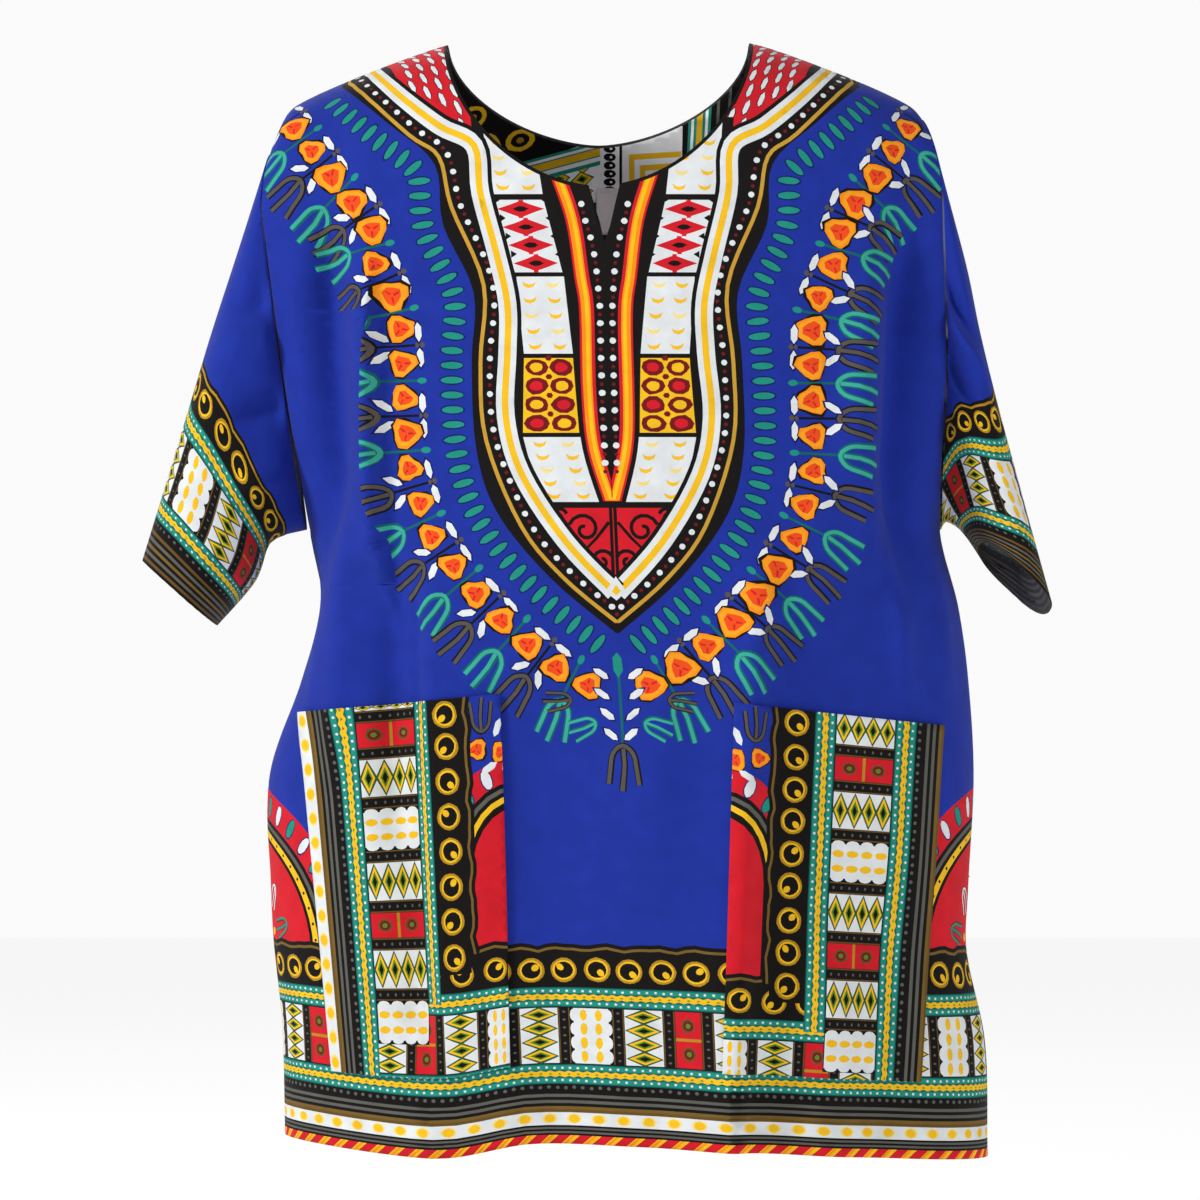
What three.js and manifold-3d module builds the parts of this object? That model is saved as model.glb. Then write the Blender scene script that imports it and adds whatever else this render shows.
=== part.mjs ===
// A short-sleeved dashiki shirt, filled out as it is when worn, with nobody in it.
//
// Units are millimetres. +Z is up, the front of the shirt faces -Y, and +X is to the right of
// someone who looks at the front. The origin is where the wearer holds it up: between the two
// shoulders, level with the inner ends of the shoulder lines.
//
// Each cloth piece is one wall on one surface:
// - front and back: level sections from the hem up to SHOULDER_Z, and above that, columns that
//   round over to the shoulder line;
// - sleeves: egg-shaped rings from the armhole to the cuff;
// - pockets and the neck facing: patches of the front's and the back's surface, moved off it.

import * as THREE from "three";
import { mergeVertices } from "three/addons/utils/BufferGeometryUtils.js";
import Module from "manifold-3d";

// ---- Driving sizes ----------------------------------------------------------------------

const CLOTH = 1.4; // wall of every cloth piece
const SEAM_GAP = 0.3; // between two pieces that are sewn together
const HEM_Z = -778; // mean level of the hem
const SHOULDER_Z = -120; // above this the body rounds over towards the shoulder line
const ARMPIT_Z = -345;
const ROUNDNESS = 2.35; // exponent of the body's level sections; 2 is an ellipse
const SHOULDER_ROUND = 2.7; // exponent of the columns over the shoulder
const RING_ROUND = 2.4; // exponent of the sleeve rings

// Level sections of the body. left and right are where the sides are, or the armholes above
// the armpits. centre is the middle line. front and back are how far the cloth stands off
// the plane of the side seams.
const SECTIONS = [
  { z: -120, left: -242, right: 237, centre: -4, front: 100, back: 92 },
  { z: -225, left: -229, right: 240, centre: -2, front: 119, back: 106 },
  { z: -345, left: -212, right: 238, centre: 2, front: 124, back: 108 },
  { z: -400, left: -201, right: 251, centre: 5, front: 122, back: 106 },
  { z: -450, left: -215, right: 258, centre: 8, front: 120, back: 104 },
  { z: -520, left: -239, right: 262, centre: 11, front: 119, back: 104 },
  { z: -600, left: -238, right: 258, centre: 13, front: 119, back: 106 },
  { z: -640, left: -236, right: 257, centre: 15, front: 119, back: 108 },
  { z: -700, left: -230, right: 270, centre: 18, front: 120, back: 110 },
  { z: -778, left: -228, right: 272, centre: 21, front: 121, back: 112 },
];

// The shoulder line, from its middle out to the top of the armhole, and how much each side
// of the body leans in towards it.
const SHOULDER_MIDDLE = -2;
const SHOULDER_LEAN = { left: 0.02, right: 0.055 };
const SHOULDER_LINE = [
  { out: 0, z: 12 },
  { out: 60, z: 8 },
  { out: 107, z: 0 },
  { out: 130, z: -7 },
  { out: 175, z: -24 },
  { out: 213, z: -41 },
  { out: 224, z: -50 },
  { out: 232, z: -68 },
  { out: 238, z: -88 },
];

// The hem's level along the front, from its left corner to its right one.
const HEM_LINE = [
  { x: -230, z: -774 },
  { x: -113, z: -783 },
  { x: -50, z: -773 },
  { x: 90, z: -778 },
  { x: 200, z: -785 },
  { x: 275, z: -790 },
];
const HEM_REACH = 240; // how far up the hem's unevenness is felt

// The neck hole, as seen from the front.
const NECK = {
  middle: -5,
  half: 107,
  front: { drop: 106, round: 1.85 },
  back: { drop: 65, round: 1.7 },
};
const SLIT = { x: -1, half: 11, bottom: -146 };

// Armholes and sleeve rings. Each ring runs from its outer end to its inner end, in the view
// from the front. depth is its half depth, widest says how far along it is deepest, and tip
// is how much lower its back edge lies than its front edge.
const ARMHOLE_DEPTH = 60;
const ARMHOLE_GAP = 0.9; // between the sleeve and the body, as their facets curve apart
const LEFT_RINGS = [
  { outX: -262, outZ: -150, inX: -219, inZ: -346, depth: 62, widest: 0.2, tip: 0 },
  { outX: -280, outZ: -205, inX: -229, inZ: -349, depth: 63, widest: 0.28, tip: 0 },
  { outX: -296, outZ: -258, inX: -240, inZ: -356, depth: 63, widest: 0.36, tip: 0 },
  { outX: -313, outZ: -314, inX: -250, inZ: -382, depth: 64, widest: 0.42, tip: 2 },
  { outX: -329, outZ: -367, inX: -277, inZ: -413, depth: 66, widest: 0.46, tip: 4 },
];
const RIGHT_RINGS = [
  { outX: 254, outZ: -150, inX: 242, inZ: -339, depth: 62, widest: 0.2, tip: 0 },
  { outX: 265, outZ: -202, inX: 247, inZ: -341, depth: 63, widest: 0.28, tip: 2 },
  { outX: 277, outZ: -252, inX: 252, inZ: -344, depth: 64, widest: 0.36, tip: 5 },
  { outX: 291, outZ: -305, inX: 258, inZ: -350, depth: 66, widest: 0.42, tip: 9 },
  { outX: 304, outZ: -354, inX: 262, inZ: -354, depth: 68, widest: 0.46, tip: 13 },
  { outX: 317, outZ: -402, inX: 266, inZ: -357, depth: 68, widest: 0.48, tip: 17 },
];

// Folds of the body. Each runs down from top to bottom through the three x values. height is
// how far its crest stands out of the cloth (negative for a trough), and toLeft and toRight
// are how far it spreads on its two sides. sharp folds come to an edge.
const FRONT_FOLDS = [
  { top: -95, bottom: -375, x: [-196, -190, -192], height: -15, toLeft: 20, toRight: 15 },
  { top: -130, bottom: -430, x: [-164, -160, -150], height: 9, toLeft: 16, toRight: 5 },
  { top: -100, bottom: -380, x: [214, 209, 205], height: -14, toLeft: 20, toRight: 16 },
  { top: -330, bottom: -900, x: [-138, -131, -106], height: 11, toLeft: 42, toRight: 34, sharp: true },
  { top: -330, bottom: -900, x: [119, 93, 88], height: 10, toLeft: 44, toRight: 24, sharp: true },
  { top: -360, bottom: -520, x: [-186, -200, -212], height: 5, toLeft: 7, toRight: 9 },
  { top: -340, bottom: -500, x: [226, 236, 240], height: 5, toLeft: 11, toRight: 8 },
  { top: -480, bottom: -900, x: [10, 4, -20], height: -5, toLeft: 60, toRight: 52 },
  { top: -560, bottom: -900, x: [190, 196, 206], height: -6, toLeft: 26, toRight: 30 },
  { top: -240, bottom: -470, x: [160, 152, 140], height: 4, toLeft: 26, toRight: 22 },
];
const BACK_FOLDS = [
  { top: -95, bottom: -380, x: [-200, -192, -190], height: -13, toLeft: 20, toRight: 18 },
  { top: -100, bottom: -370, x: [212, 206, 203], height: -14, toLeft: 18, toRight: 20 },
  { top: -250, bottom: -900, x: [-132, -140, -152], height: 8, toLeft: 40, toRight: 34 },
  { top: -300, bottom: -900, x: [76, 92, 118], height: 9, toLeft: 46, toRight: 36, sharp: true },
  { top: -380, bottom: -900, x: [0, -8, -14], height: -8, toLeft: 48, toRight: 54 },
  { top: -520, bottom: -900, x: [190, 196, 205], height: -7, toLeft: 26, toRight: 24 },
  { top: -420, bottom: -760, x: [-190, -196, -196], height: -5, toLeft: 24, toRight: 20 },
];
const FOLD_FADE = 90; // the length over which a fold rises at its two ends

// Patch pockets: corners as seen from the front, top left first and then clockwise.
const POCKETS = {
  pocket_left: [[-214, -474], [-73, -460], [-66, -722], [-190, -725]],
  pocket_right: [[87, -466], [236, -483], [221, -725], [79, -723]],
};
const FACING_WIDTH = 40; // of the strip inside the back of the neck
const FACING_STOP = -7; // where that strip ends, short of the shoulder line
const LABEL = { x: 2, top: -96, width: 24, height: 34, thick: 1 };

// How finely each wall is divided.
const BODY_COLUMNS = 34;
const BODY_ROWS = 18;
const SHOULDER_ROWS = 6;
const RING_STEPS = 28;
const NECK_STEPS = 24;

// ---- Small helpers ----------------------------------------------------------------------

const clamp = (v, low, high) => Math.min(high, Math.max(low, v));
const smooth = (v) => {
  const t = clamp(v, 0, 1);
  return t * t * (3 - 2 * t);
};
const mix = (a, b, t) => a + (b - a) * t;

// Reads column `want` of a table at `at` in column `key`, smoothly between its rows.
function read(table, key, at, want) {
  const down = table[0][key] > table[table.length - 1][key];
  const rows = down ? [...table].reverse() : table;
  const last = rows.length - 1;
  if (at <= rows[0][key]) return rows[0][want];
  if (at >= rows[last][key]) return rows[last][want];
  const i = rows.findIndex((row) => row[key] > at) - 1;
  const slope = (j) => {
    const a = rows[Math.max(j - 1, 0)];
    const b = rows[Math.min(j + 1, last)];
    return (b[want] - a[want]) / (b[key] - a[key]);
  };
  const h = rows[i + 1][key] - rows[i][key];
  const t = (at - rows[i][key]) / h;
  const rise = rows[i + 1][want] - rows[i][want];
  const m0 = slope(i) * h;
  const m1 = slope(i + 1) * h;
  return rows[i][want] + t * (m0 + t * (3 * rise - 2 * m0 - m1 + t * (m0 + m1 - 2 * rise)));
}

// A quarter of a rounded curve: 1 at 0, and 0 at 1.
const quarter = (t, power) => Math.pow(1 - Math.pow(clamp(t, 0, 1), power), 1 / power);

// ---- Body -------------------------------------------------------------------------------

// How deep the armhole stands off the side seam's plane, and 0 where there is no armhole.
function armholeDepth(z) {
  return z <= ARMPIT_Z ? 0 : ARMHOLE_DEPTH * quarter((SHOULDER_Z - z) / (SHOULDER_Z - ARMPIT_Z), RING_ROUND);
}

// One half of a level section: its middle, half width and depth, and how much of it is used.
function halfSection(z, side, face) {
  const middle = read(SECTIONS, "z", z, "centre");
  const edge = read(SECTIONS, "z", z, side < 0 ? "left" : "right");
  const depth = read(SECTIONS, "z", z, face);
  const share = Math.pow(1 - Math.pow(armholeDepth(z) / depth, ROUNDNESS), 1 / ROUNDNESS);
  return { middle, depth, share, half: Math.abs(edge - middle) / share };
}

// The shoulder line's level at x.
const shoulderLevel = (x) => read(SHOULDER_LINE, "out", Math.abs(x - SHOULDER_MIDDLE), "z");

// Where the armhole is at level z, as seen from the front.
function armholeX(side, z) {
  const key = side < 0 ? "left" : "right";
  if (z <= SHOULDER_Z) return read(SECTIONS, "z", z, key);
  const top = SECTIONS[0][key] * (1 - SHOULDER_LEAN[key]);
  const up = clamp((z - SHOULDER_Z) / (shoulderLevel(top) - SHOULDER_Z), 0, 1);
  return mix(SECTIONS[0][key], top, up * up);
}

// The neck hole's edge at x: its level as seen from the front.
function neckLevel(x, face) {
  return -NECK[face].drop * quarter(Math.abs(x - NECK.middle) / NECK.half, NECK[face].round);
}

// How far all the folds together move the cloth at x, z.
function foldHeight(folds, x, z) {
  let sum = 0;
  for (const fold of folds) {
    const t = (z - fold.top) / (fold.bottom - fold.top);
    if (t <= 0 || t >= 1) continue;
    const [a, b, c] = fold.x;
    const crest = a * (1 - t) * (1 - 2 * t) + 4 * b * t * (1 - t) + c * t * (2 * t - 1);
    const off = (x - crest) / (x < crest ? fold.toLeft : fold.toRight);
    const across = fold.sharp
      ? Math.exp(-1.6 * (Math.sqrt(off * off + 0.01) - 0.1))
      : Math.exp(-off * off);
    const ends = smooth((fold.top - z) / FOLD_FADE) * smooth((z - fold.bottom) / FOLD_FADE);
    sum += fold.height * across * ends;
  }
  return sum;
}

// A point of the body. across runs from -1 at the left edge to 1 at the right one. up is a
// level below SHOULDER_Z, or a share from 0 to 1 of the way from there to the shoulder line.
// lift moves the point out of the cloth.
function bodyPoint(face, across, level, up, lift = 0) {
  const side = across < 0 ? -1 : 1;
  const { middle, depth, share, half } = halfSection(level, side, face);
  const sine = Math.sin((Math.abs(across) * Math.PI) / 2);
  const out = Math.pow(sine, 2 / ROUNDNESS) * share;
  const sign = face === "front" ? -1 : 1;
  const folds = face === "front" ? FRONT_FOLDS : BACK_FOLDS;
  const back = quarter(out, ROUNDNESS);
  let x = middle + side * half * out;
  let y = sign * depth * back;
  const slopeX = side * Math.pow(out, ROUNDNESS - 1) / half;
  const slopeY = (sign * Math.pow(back, ROUNDNESS - 1)) / depth;
  const size = Math.hypot(slopeX, slopeY);
  const move = foldHeight(folds, x, level) + lift;
  let z = level;
  const top = x * (1 - SHOULDER_LEAN[side < 0 ? "left" : "right"]);
  if (up > 0) z = mix(SHOULDER_Z, shoulderLevel(top), up);
  else z += (read(HEM_LINE, "x", x, "z") - HEM_Z) * smooth((HEM_Z + HEM_REACH - level) / HEM_REACH);
  x = mix(x + (slopeX / size) * move, top, up * up);
  y = (y + (slopeY / size) * move) * quarter(up, SHOULDER_ROUND);
  return new THREE.Vector3(x, y, z);
}

// ---- Walls ------------------------------------------------------------------------------

// A wall of cloth on a grid of points that is seen from outside with its rows running to the
// right and its columns running up. round joins the last column to the first one. held keeps
// a point of the wall on its own side of a seam. off is how far the wall's outside stands off
// the grid's surface.
function wall(grid, { round = false, held = (p) => p, off = 0 } = {}) {
  const rows = grid.length;
  const columns = grid[0].length;
  const at = (r, c) => grid[clamp(r, 0, rows - 1)][round ? (c + columns) % columns : clamp(c, 0, columns - 1)];
  const positions = [];
  const inner = [];
  for (let r = 0; r < rows; r++)
    for (let c = 0; c < columns; c++) {
      const right = at(r, c + 1).clone().sub(at(r, c - 1));
      const up = at(r + 1, c).clone().sub(at(r - 1, c));
      const out = right.cross(up).normalize();
      positions.push(...held(at(r, c).clone().addScaledVector(out, off)).toArray());
      inner.push(...held(at(r, c).clone().addScaledVector(out, off - CLOTH)).toArray());
    }
  const count = rows * columns;
  const index = [];
  const quad = (a, b, c, d) => index.push(a, b, c, a, c, d);
  const id = (r, c) => r * columns + (c % columns);
  const lastColumn = round ? columns : columns - 1;
  for (let c = 0; c < lastColumn; c++) {
    for (let r = 0; r < rows - 1; r++) {
      quad(id(r, c), id(r, c + 1), id(r + 1, c + 1), id(r + 1, c));
      quad(count + id(r, c), count + id(r + 1, c), count + id(r + 1, c + 1), count + id(r, c + 1));
    }
    quad(id(0, c), count + id(0, c), count + id(0, c + 1), id(0, c + 1));
    quad(id(rows - 1, c), id(rows - 1, c + 1), count + id(rows - 1, c + 1), count + id(rows - 1, c));
  }
  if (!round)
    for (let r = 0; r < rows - 1; r++) {
      quad(id(r, 0), id(r + 1, 0), count + id(r + 1, 0), count + id(r, 0));
      quad(id(r, columns - 1), count + id(r, columns - 1), count + id(r + 1, columns - 1), id(r + 1, columns - 1));
    }
  const geometry = new THREE.BufferGeometry();
  geometry.setAttribute("position", new THREE.Float32BufferAttribute([...positions, ...inner], 3));
  geometry.setIndex(index);
  return geometry;
}

const wasm = await Module();
wasm.setup();

function solidOf(geometry) {
  const bare = new THREE.BufferGeometry();
  bare.setAttribute("position", geometry.getAttribute("position"));
  if (geometry.index) bare.setIndex(geometry.index);
  const merged = mergeVertices(bare, 1e-4);
  return new wasm.Manifold(
    new wasm.Mesh({
      numProp: 3,
      vertProperties: merged.attributes.position.array,
      triVerts: new Uint32Array(merged.index.array),
    }),
  );
}

function geometryOf(solid) {
  const mesh = solid.getMesh();
  const geometry = new THREE.BufferGeometry();
  geometry.setAttribute("position", new THREE.BufferAttribute(mesh.vertProperties, 3));
  geometry.setIndex(new THREE.BufferAttribute(mesh.triVerts, 1));
  return geometry;
}

// A wall on the whole of the front's or the back's surface, from hem to shoulder line.
function sheet(face, off = 0) {
  const sign = face === "front" ? -1 : 1;
  const grid = [];
  const row = (level, up) => {
    const points = [];
    for (let c = 0; c <= BODY_COLUMNS; c++) points.push(bodyPoint(face, (2 * c) / BODY_COLUMNS - 1, level, up));
    grid.push(face === "front" ? points : points.reverse());
  };
  for (let r = 0; r <= BODY_ROWS; r++) row(mix(HEM_Z, SHOULDER_Z, r / BODY_ROWS), 0);
  for (let r = 1; r <= SHOULDER_ROWS; r++)
    row(SHOULDER_Z, Math.pow(Math.sin((r / SHOULDER_ROWS) * (Math.PI / 2)), 2 / SHOULDER_ROUND));
  const held = (p) => {
    p.y = sign * Math.max(sign * p.y, SEAM_GAP / 2);
    if (p.z > ARMPIT_Z) p.x = clamp(p.x, armholeX(-1, p.z), armholeX(1, p.z));
    return p;
  };
  return solidOf(wall(grid, { held, off }));
}

// A block with the given outline in the view from the front, through one face of the shirt.
function block(outline, face) {
  const shape = new THREE.Shape(outline.map(([x, z]) => new THREE.Vector2(x, z)));
  const geometry = new THREE.ExtrudeGeometry(shape, { depth: 300, bevelEnabled: false });
  geometry.rotateX(Math.PI / 2);
  if (face === "back") geometry.translate(0, 300, 0);
  return solidOf(geometry);
}

// The curve of the neck hole from left to right, or the same curve `wider` millimetres out.
function neckCurve(face, wider = 0) {
  const curve = [];
  for (let i = 0; i <= NECK_STEPS; i++) {
    const along = -Math.cos((Math.PI * i) / NECK_STEPS);
    const x = NECK.middle + (NECK.half + wider) * along;
    curve.push([x, -(NECK[face].drop + wider) * quarter(Math.abs(along), NECK[face].round)]);
  }
  return curve;
}

// The neck hole's outline. The front one has the slit.
function neckOutline(face) {
  const curve = neckCurve(face);
  const ends = [NECK.middle + NECK.half, NECK.middle - NECK.half];
  if (face === "back") return [...curve, [ends[0], 60], [ends[1], 60]];
  const { x, half, bottom } = SLIT;
  return [
    ...curve.filter(([at]) => at < x - half),
    [x - half, neckLevel(x - half, face)],
    [x, bottom],
    [x + half, neckLevel(x + half, face)],
    ...curve.filter(([at]) => at > x + half),
    [ends[0], 60],
    [ends[1], 60],
  ];
}

// ---- Pieces -----------------------------------------------------------------------------

const bodyPanel = (face) => geometryOf(sheet(face).subtract(block(neckOutline(face), face)));

const pocket = (corners) =>
  geometryOf(sheet("front", CLOTH + SEAM_GAP).intersect(block(corners, "front")));

// The strip inside the back of the neck, which stops short of the shoulder line.
function neckFacing() {
  const stop = ([, z]) => z < FACING_STOP;
  const outline = [
    ...neckCurve("back").filter(stop),
    ...neckCurve("back", FACING_WIDTH).filter(stop).reverse(),
  ];
  return geometryOf(sheet("back", -CLOTH - SEAM_GAP).intersect(block(outline, "back")));
}

// A place on the armhole's outline in the view from the front, from its top to the armpit.
function armholeAt(side, share) {
  const top = shoulderLevel(armholeX(side, 0));
  const z = mix(top, ARMPIT_Z, share);
  return { x: armholeX(side, z) + side * ARMHOLE_GAP, z };
}

// A tube of egg-shaped rings from the armhole to the cuff.
function sleeve(side, rings) {
  const top = armholeAt(side, 0).z;
  const widestAtArmhole = (top - SHOULDER_Z) / (top - ARMPIT_Z);
  const grid = [];
  const ring = (place, depth, widest, tip) => {
    const points = [];
    for (let i = 0; i < RING_STEPS; i++) {
      const turn = (2 * Math.PI * i) / RING_STEPS;
      const share = (1 - Math.cos(turn)) / 2;
      const isFront = turn < Math.PI;
      const reach = share < widest
        ? quarter((widest - share) / widest, SHOULDER_ROUND)
        : quarter((share - widest) / (1 - widest), RING_ROUND);
      const { x, z } = place(share);
      const y = (isFront ? -1 : 1) * depth * reach;
      points.push(new THREE.Vector3(x, y, z - (tip * y) / depth / 2));
    }
    grid.push(side < 0 ? points : points.reverse());
  };
  const held = (p) => {
    const seam = armholeX(side, p.z) + side * ARMHOLE_GAP;
    if (p.z > ARMPIT_Z - 8) p.x = side * Math.max(side * p.x, side * seam);
    return p;
  };
  ring((share) => armholeAt(side, share), ARMHOLE_DEPTH, widestAtArmhole, 0);
  for (const r of rings)
    ring((share) => ({ x: mix(r.outX, r.inX, share), z: mix(r.outZ, r.inZ, share) }), r.depth, r.widest, r.tip);
  return wall(grid, { round: true, held });
}

// Turns a point seen from the front into a place on the body's surface.
function placeOf(x, z, face) {
  const side = x < read(SECTIONS, "z", Math.min(z, SHOULDER_Z), "centre") ? -1 : 1;
  const level = Math.min(z, SHOULDER_Z);
  const { middle, share, half } = halfSection(level, side, face);
  const out = clamp(Math.abs(x - middle) / half, 0, share);
  const across = (side * Math.asin(Math.pow(out / share, ROUNDNESS / 2)) * 2) / Math.PI;
  const up = z > SHOULDER_Z ? clamp((z - SHOULDER_Z) / (shoulderLevel(x) - SHOULDER_Z), 0, 1) : 0;
  return { across, level, up };
}

function neckLabel() {
  const geometry = new THREE.BoxGeometry(LABEL.width, LABEL.thick, LABEL.height);
  const { across, level, up } = placeOf(LABEL.x, LABEL.top, "back");
  const behind = bodyPoint("back", across, level, up);
  geometry.translate(LABEL.x, behind.y - 4 * CLOTH - 6, LABEL.top - LABEL.height / 2);
  return geometry;
}

// ---- The shirt --------------------------------------------------------------------------

const PRINT_BLUE = 0x1f2fa6;
const BORDER_BLACK = 0x1a1714;
const FACING_GOLD = 0x9a7a26;
const LABEL_WHITE = 0xe4dfe4;

const shirt = new THREE.Group();

function add(name, geometry, color) {
  const material = new THREE.MeshStandardMaterial({ color, roughness: 0.78, metalness: 0 });
  const mesh = new THREE.Mesh(geometry, material);
  mesh.name = name;
  shirt.add(mesh);
}

add("front", bodyPanel("front"), PRINT_BLUE);
add("back", bodyPanel("back"), PRINT_BLUE);
add("sleeve_left", sleeve(-1, LEFT_RINGS), PRINT_BLUE);
add("sleeve_right", sleeve(1, RIGHT_RINGS), PRINT_BLUE);
for (const [name, corners] of Object.entries(POCKETS)) add(name, pocket(corners), BORDER_BLACK);
add("neck_facing", neckFacing(), FACING_GOLD);
add("neck_label", neckLabel(), LABEL_WHITE);

export default shirt;
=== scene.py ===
# A printed cotton dashiki shirt, filled out as when it is worn, with nobody in it.
import math
import random

import bpy
import numpy as np
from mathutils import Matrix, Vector
from mathutils.geometry import delaunay_2d_cdt


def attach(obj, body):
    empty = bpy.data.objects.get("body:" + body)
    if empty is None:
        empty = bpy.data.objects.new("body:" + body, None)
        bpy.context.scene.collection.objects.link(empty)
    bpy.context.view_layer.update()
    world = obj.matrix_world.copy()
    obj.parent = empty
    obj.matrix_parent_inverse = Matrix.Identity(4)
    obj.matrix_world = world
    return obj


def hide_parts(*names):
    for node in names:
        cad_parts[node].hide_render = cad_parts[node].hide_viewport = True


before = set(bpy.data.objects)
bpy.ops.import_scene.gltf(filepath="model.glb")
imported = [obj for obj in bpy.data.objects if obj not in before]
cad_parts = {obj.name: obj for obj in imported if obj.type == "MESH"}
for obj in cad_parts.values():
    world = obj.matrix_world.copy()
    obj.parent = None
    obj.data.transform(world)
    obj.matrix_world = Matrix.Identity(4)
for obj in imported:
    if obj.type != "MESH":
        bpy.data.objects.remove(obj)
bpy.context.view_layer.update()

MM = 0.001

# ---- The shirt's sizes, in millimetres. The CAD model has the same ones. ----------------
CLOTH = 1.1
HEM_Z, ARMPIT_Z, SHOULDER_Z = -778.0, -345.0, -120.0
ROUNDNESS, SHOULDER_ROUND, RING_ROUND = 2.35, 2.7, 2.4
ARMHOLE_DEPTH = 60.0
SECTIONS = [  # level, left, right, centre, front depth, back depth
    (-120, -242, 237, -4, 100, 92),
    (-225, -229, 240, -2, 119, 106),
    (-345, -212, 238, 2, 124, 108),
    (-400, -201, 251, 5, 122, 106),
    (-450, -215, 258, 8, 120, 104),
    (-520, -239, 262, 11, 119, 104),
    (-600, -238, 258, 13, 119, 106),
    (-640, -236, 257, 15, 119, 108),
    (-700, -230, 270, 18, 120, 110),
    (-778, -228, 272, 21, 121, 112),
]
SHOULDER_MIDDLE = -2.0
LEAN_LEFT, LEAN_RIGHT = 0.02, 0.055
SHOULDER_LINE = [  # distance out, level
    (0, 12), (60, 8), (107, 0), (130, -7), (175, -24), (213, -41), (224, -50), (232, -68), (238, -88),
]
HEM_LINE = [(-230, -774), (-113, -783), (-50, -773), (90, -778), (200, -785), (275, -790)]  # x, level
HEM_REACH = 240.0
NECK_MIDDLE, NECK_HALF = -5.0, 107.0
NECK = {"front": (106.0, 1.85), "back": (65.0, 1.7)}  # drop, roundness
SLIT_X, SLIT_HALF, SLIT_BOTTOM = -1.0, 11.0, -146.0
LEFT_RINGS = [  # outer x, z, inner x, z, half depth, where it is widest, tip
    (-262, -150, -219, -346, 62, 0.2, 0),
    (-280, -205, -229, -349, 63, 0.28, 0),
    (-296, -258, -240, -356, 63, 0.36, 0),
    (-313, -314, -250, -382, 64, 0.42, 2),
    (-329, -367, -277, -413, 66, 0.46, 4),
]
RIGHT_RINGS = [
    (254, -150, 242, -339, 62, 0.2, 0),
    (265, -202, 247, -341, 63, 0.28, 2),
    (277, -252, 252, -344, 64, 0.36, 5),
    (291, -305, 258, -350, 66, 0.42, 9),
    (304, -354, 262, -354, 68, 0.46, 13),
    (317, -402, 266, -357, 68, 0.48, 17),
]
FRONT_FOLDS = [  # top, bottom, x at top, middle and bottom, height, reach left, reach right, sharp
    (-95, -375, -196, -190, -192, -15, 20, 15, 0),
    (-130, -430, -164, -160, -150, 9, 16, 5, 0),
    (-100, -380, 214, 209, 205, -14, 20, 16, 0),
    (-330, -900, -138, -131, -106, 11, 42, 34, 1),
    (-330, -900, 119, 93, 88, 10, 44, 24, 1),
    (-360, -520, -186, -200, -212, 5, 7, 9, 0),
    (-340, -500, 226, 236, 240, 5, 11, 8, 0),
    (-480, -900, 10, 4, -20, -5, 60, 52, 0),
    (-560, -900, 190, 196, 206, -6, 26, 30, 0),
    (-240, -470, 160, 152, 140, 4, 26, 22, 0),
]
BACK_FOLDS = [
    (-95, -380, -200, -192, -190, -13, 20, 18, 0),
    (-100, -370, 212, 206, 203, -14, 18, 20, 0),
    (-250, -900, -132, -140, -152, 8, 40, 34, 0),
    (-300, -900, 76, 92, 118, 9, 46, 36, 1),
    (-380, -900, 0, -8, -14, -8, 48, 54, 0),
    (-520, -900, 190, 196, 205, -7, 26, 24, 0),
    (-420, -760, -190, -196, -196, -5, 24, 20, 0),
]
FRONT_CREASES = [  # the finer drape, with the same columns
    (-125, -440, -164, -162, -148, 8, 24, 3.5, 0),
    (-340, -760, -136, -133, -120, -19, 24, 9, 0),
    (-330, -900, 106, 90, 84, 8, 18, 12, 0),
    (-600, -900, -62, -62, -68, 6, 20, 24, 0),
    (-620, -900, 40, 38, 32, -6, 20, 20, 0),
    (-600, -900, 150, 154, 158, 6, 22, 22, 0),
    (-330, -500, 196, 204, 212, 7, 7, 12, 0),
    (-300, -540, -175, -182, -190, 9, 12, 8, 0),
    (-310, -600, -158, -154, -146, -9, 12, 12, 0),
    (-150, -350, 176, 172, 166, 6, 10, 14, 0),
    (-420, -640, 40, 30, 12, 4, 26, 20, 0),
    (-100, -420, 216, 210, 208, -9, 10, 12, 0),
    (-110, -420, 186, 184, 180, 7, 12, 12, 0),
    (-100, -400, -202, -199, -198, -8, 9, 9, 0),
    (-430, -900, 36, 34, 30, 10, 46, 50, 0),
    (-440, -900, -46, -48, -52, -8, 34, 36, 0),
]
BACK_CREASES = [  # like the front's
    (-100, -640, -62, -68, -74, 7, 14, 26, 0),
    (-150, -700, 40, 46, 62, 7, 26, 12, 0),
    (-110, -430, -168, -160, -150, 9, 20, 5, 0),
    (-110, -430, 176, 170, 158, 9, 5, 20, 0),
    (-600, -900, -40, -44, -50, 6, 22, 22, 0),
    (-560, -900, 126, 128, 132, -7, 20, 22, 0),
    (-330, -500, 190, 200, 208, 6, 8, 12, 0),
    (-330, -500, -160, -172, -180, 6, 12, 8, 0),
]
SLEEVE_CREASES = [  # from (round, up) to (round, up), height, reach
    (12, 190, 110, 120, -9, 10),
    (6, 160, 84, 80, 8, 10),
    (36, 220, 150, 150, 8, 11),
    (70, 230, 150, 190, -8, 10),
    (353, 190, 255, 120, -9, 10),
    (359, 160, 281, 80, 8, 10),
    (329, 220, 215, 150, 8, 11),
    (295, 230, 215, 190, -7, 10),
]
FOLD_FADE = 90.0
POCKETS = {  # corners in the view from the front: top left, then clockwise
    "pocket_left": [(-214, -474), (-73, -460), (-66, -722), (-190, -725)],
    "pocket_right": [(87, -466), (236, -483), (221, -725), (79, -723)],
}
FACING_WIDTH = 40.0
LABEL_WIDE, LABEL_TALL = 17, 34


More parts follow.
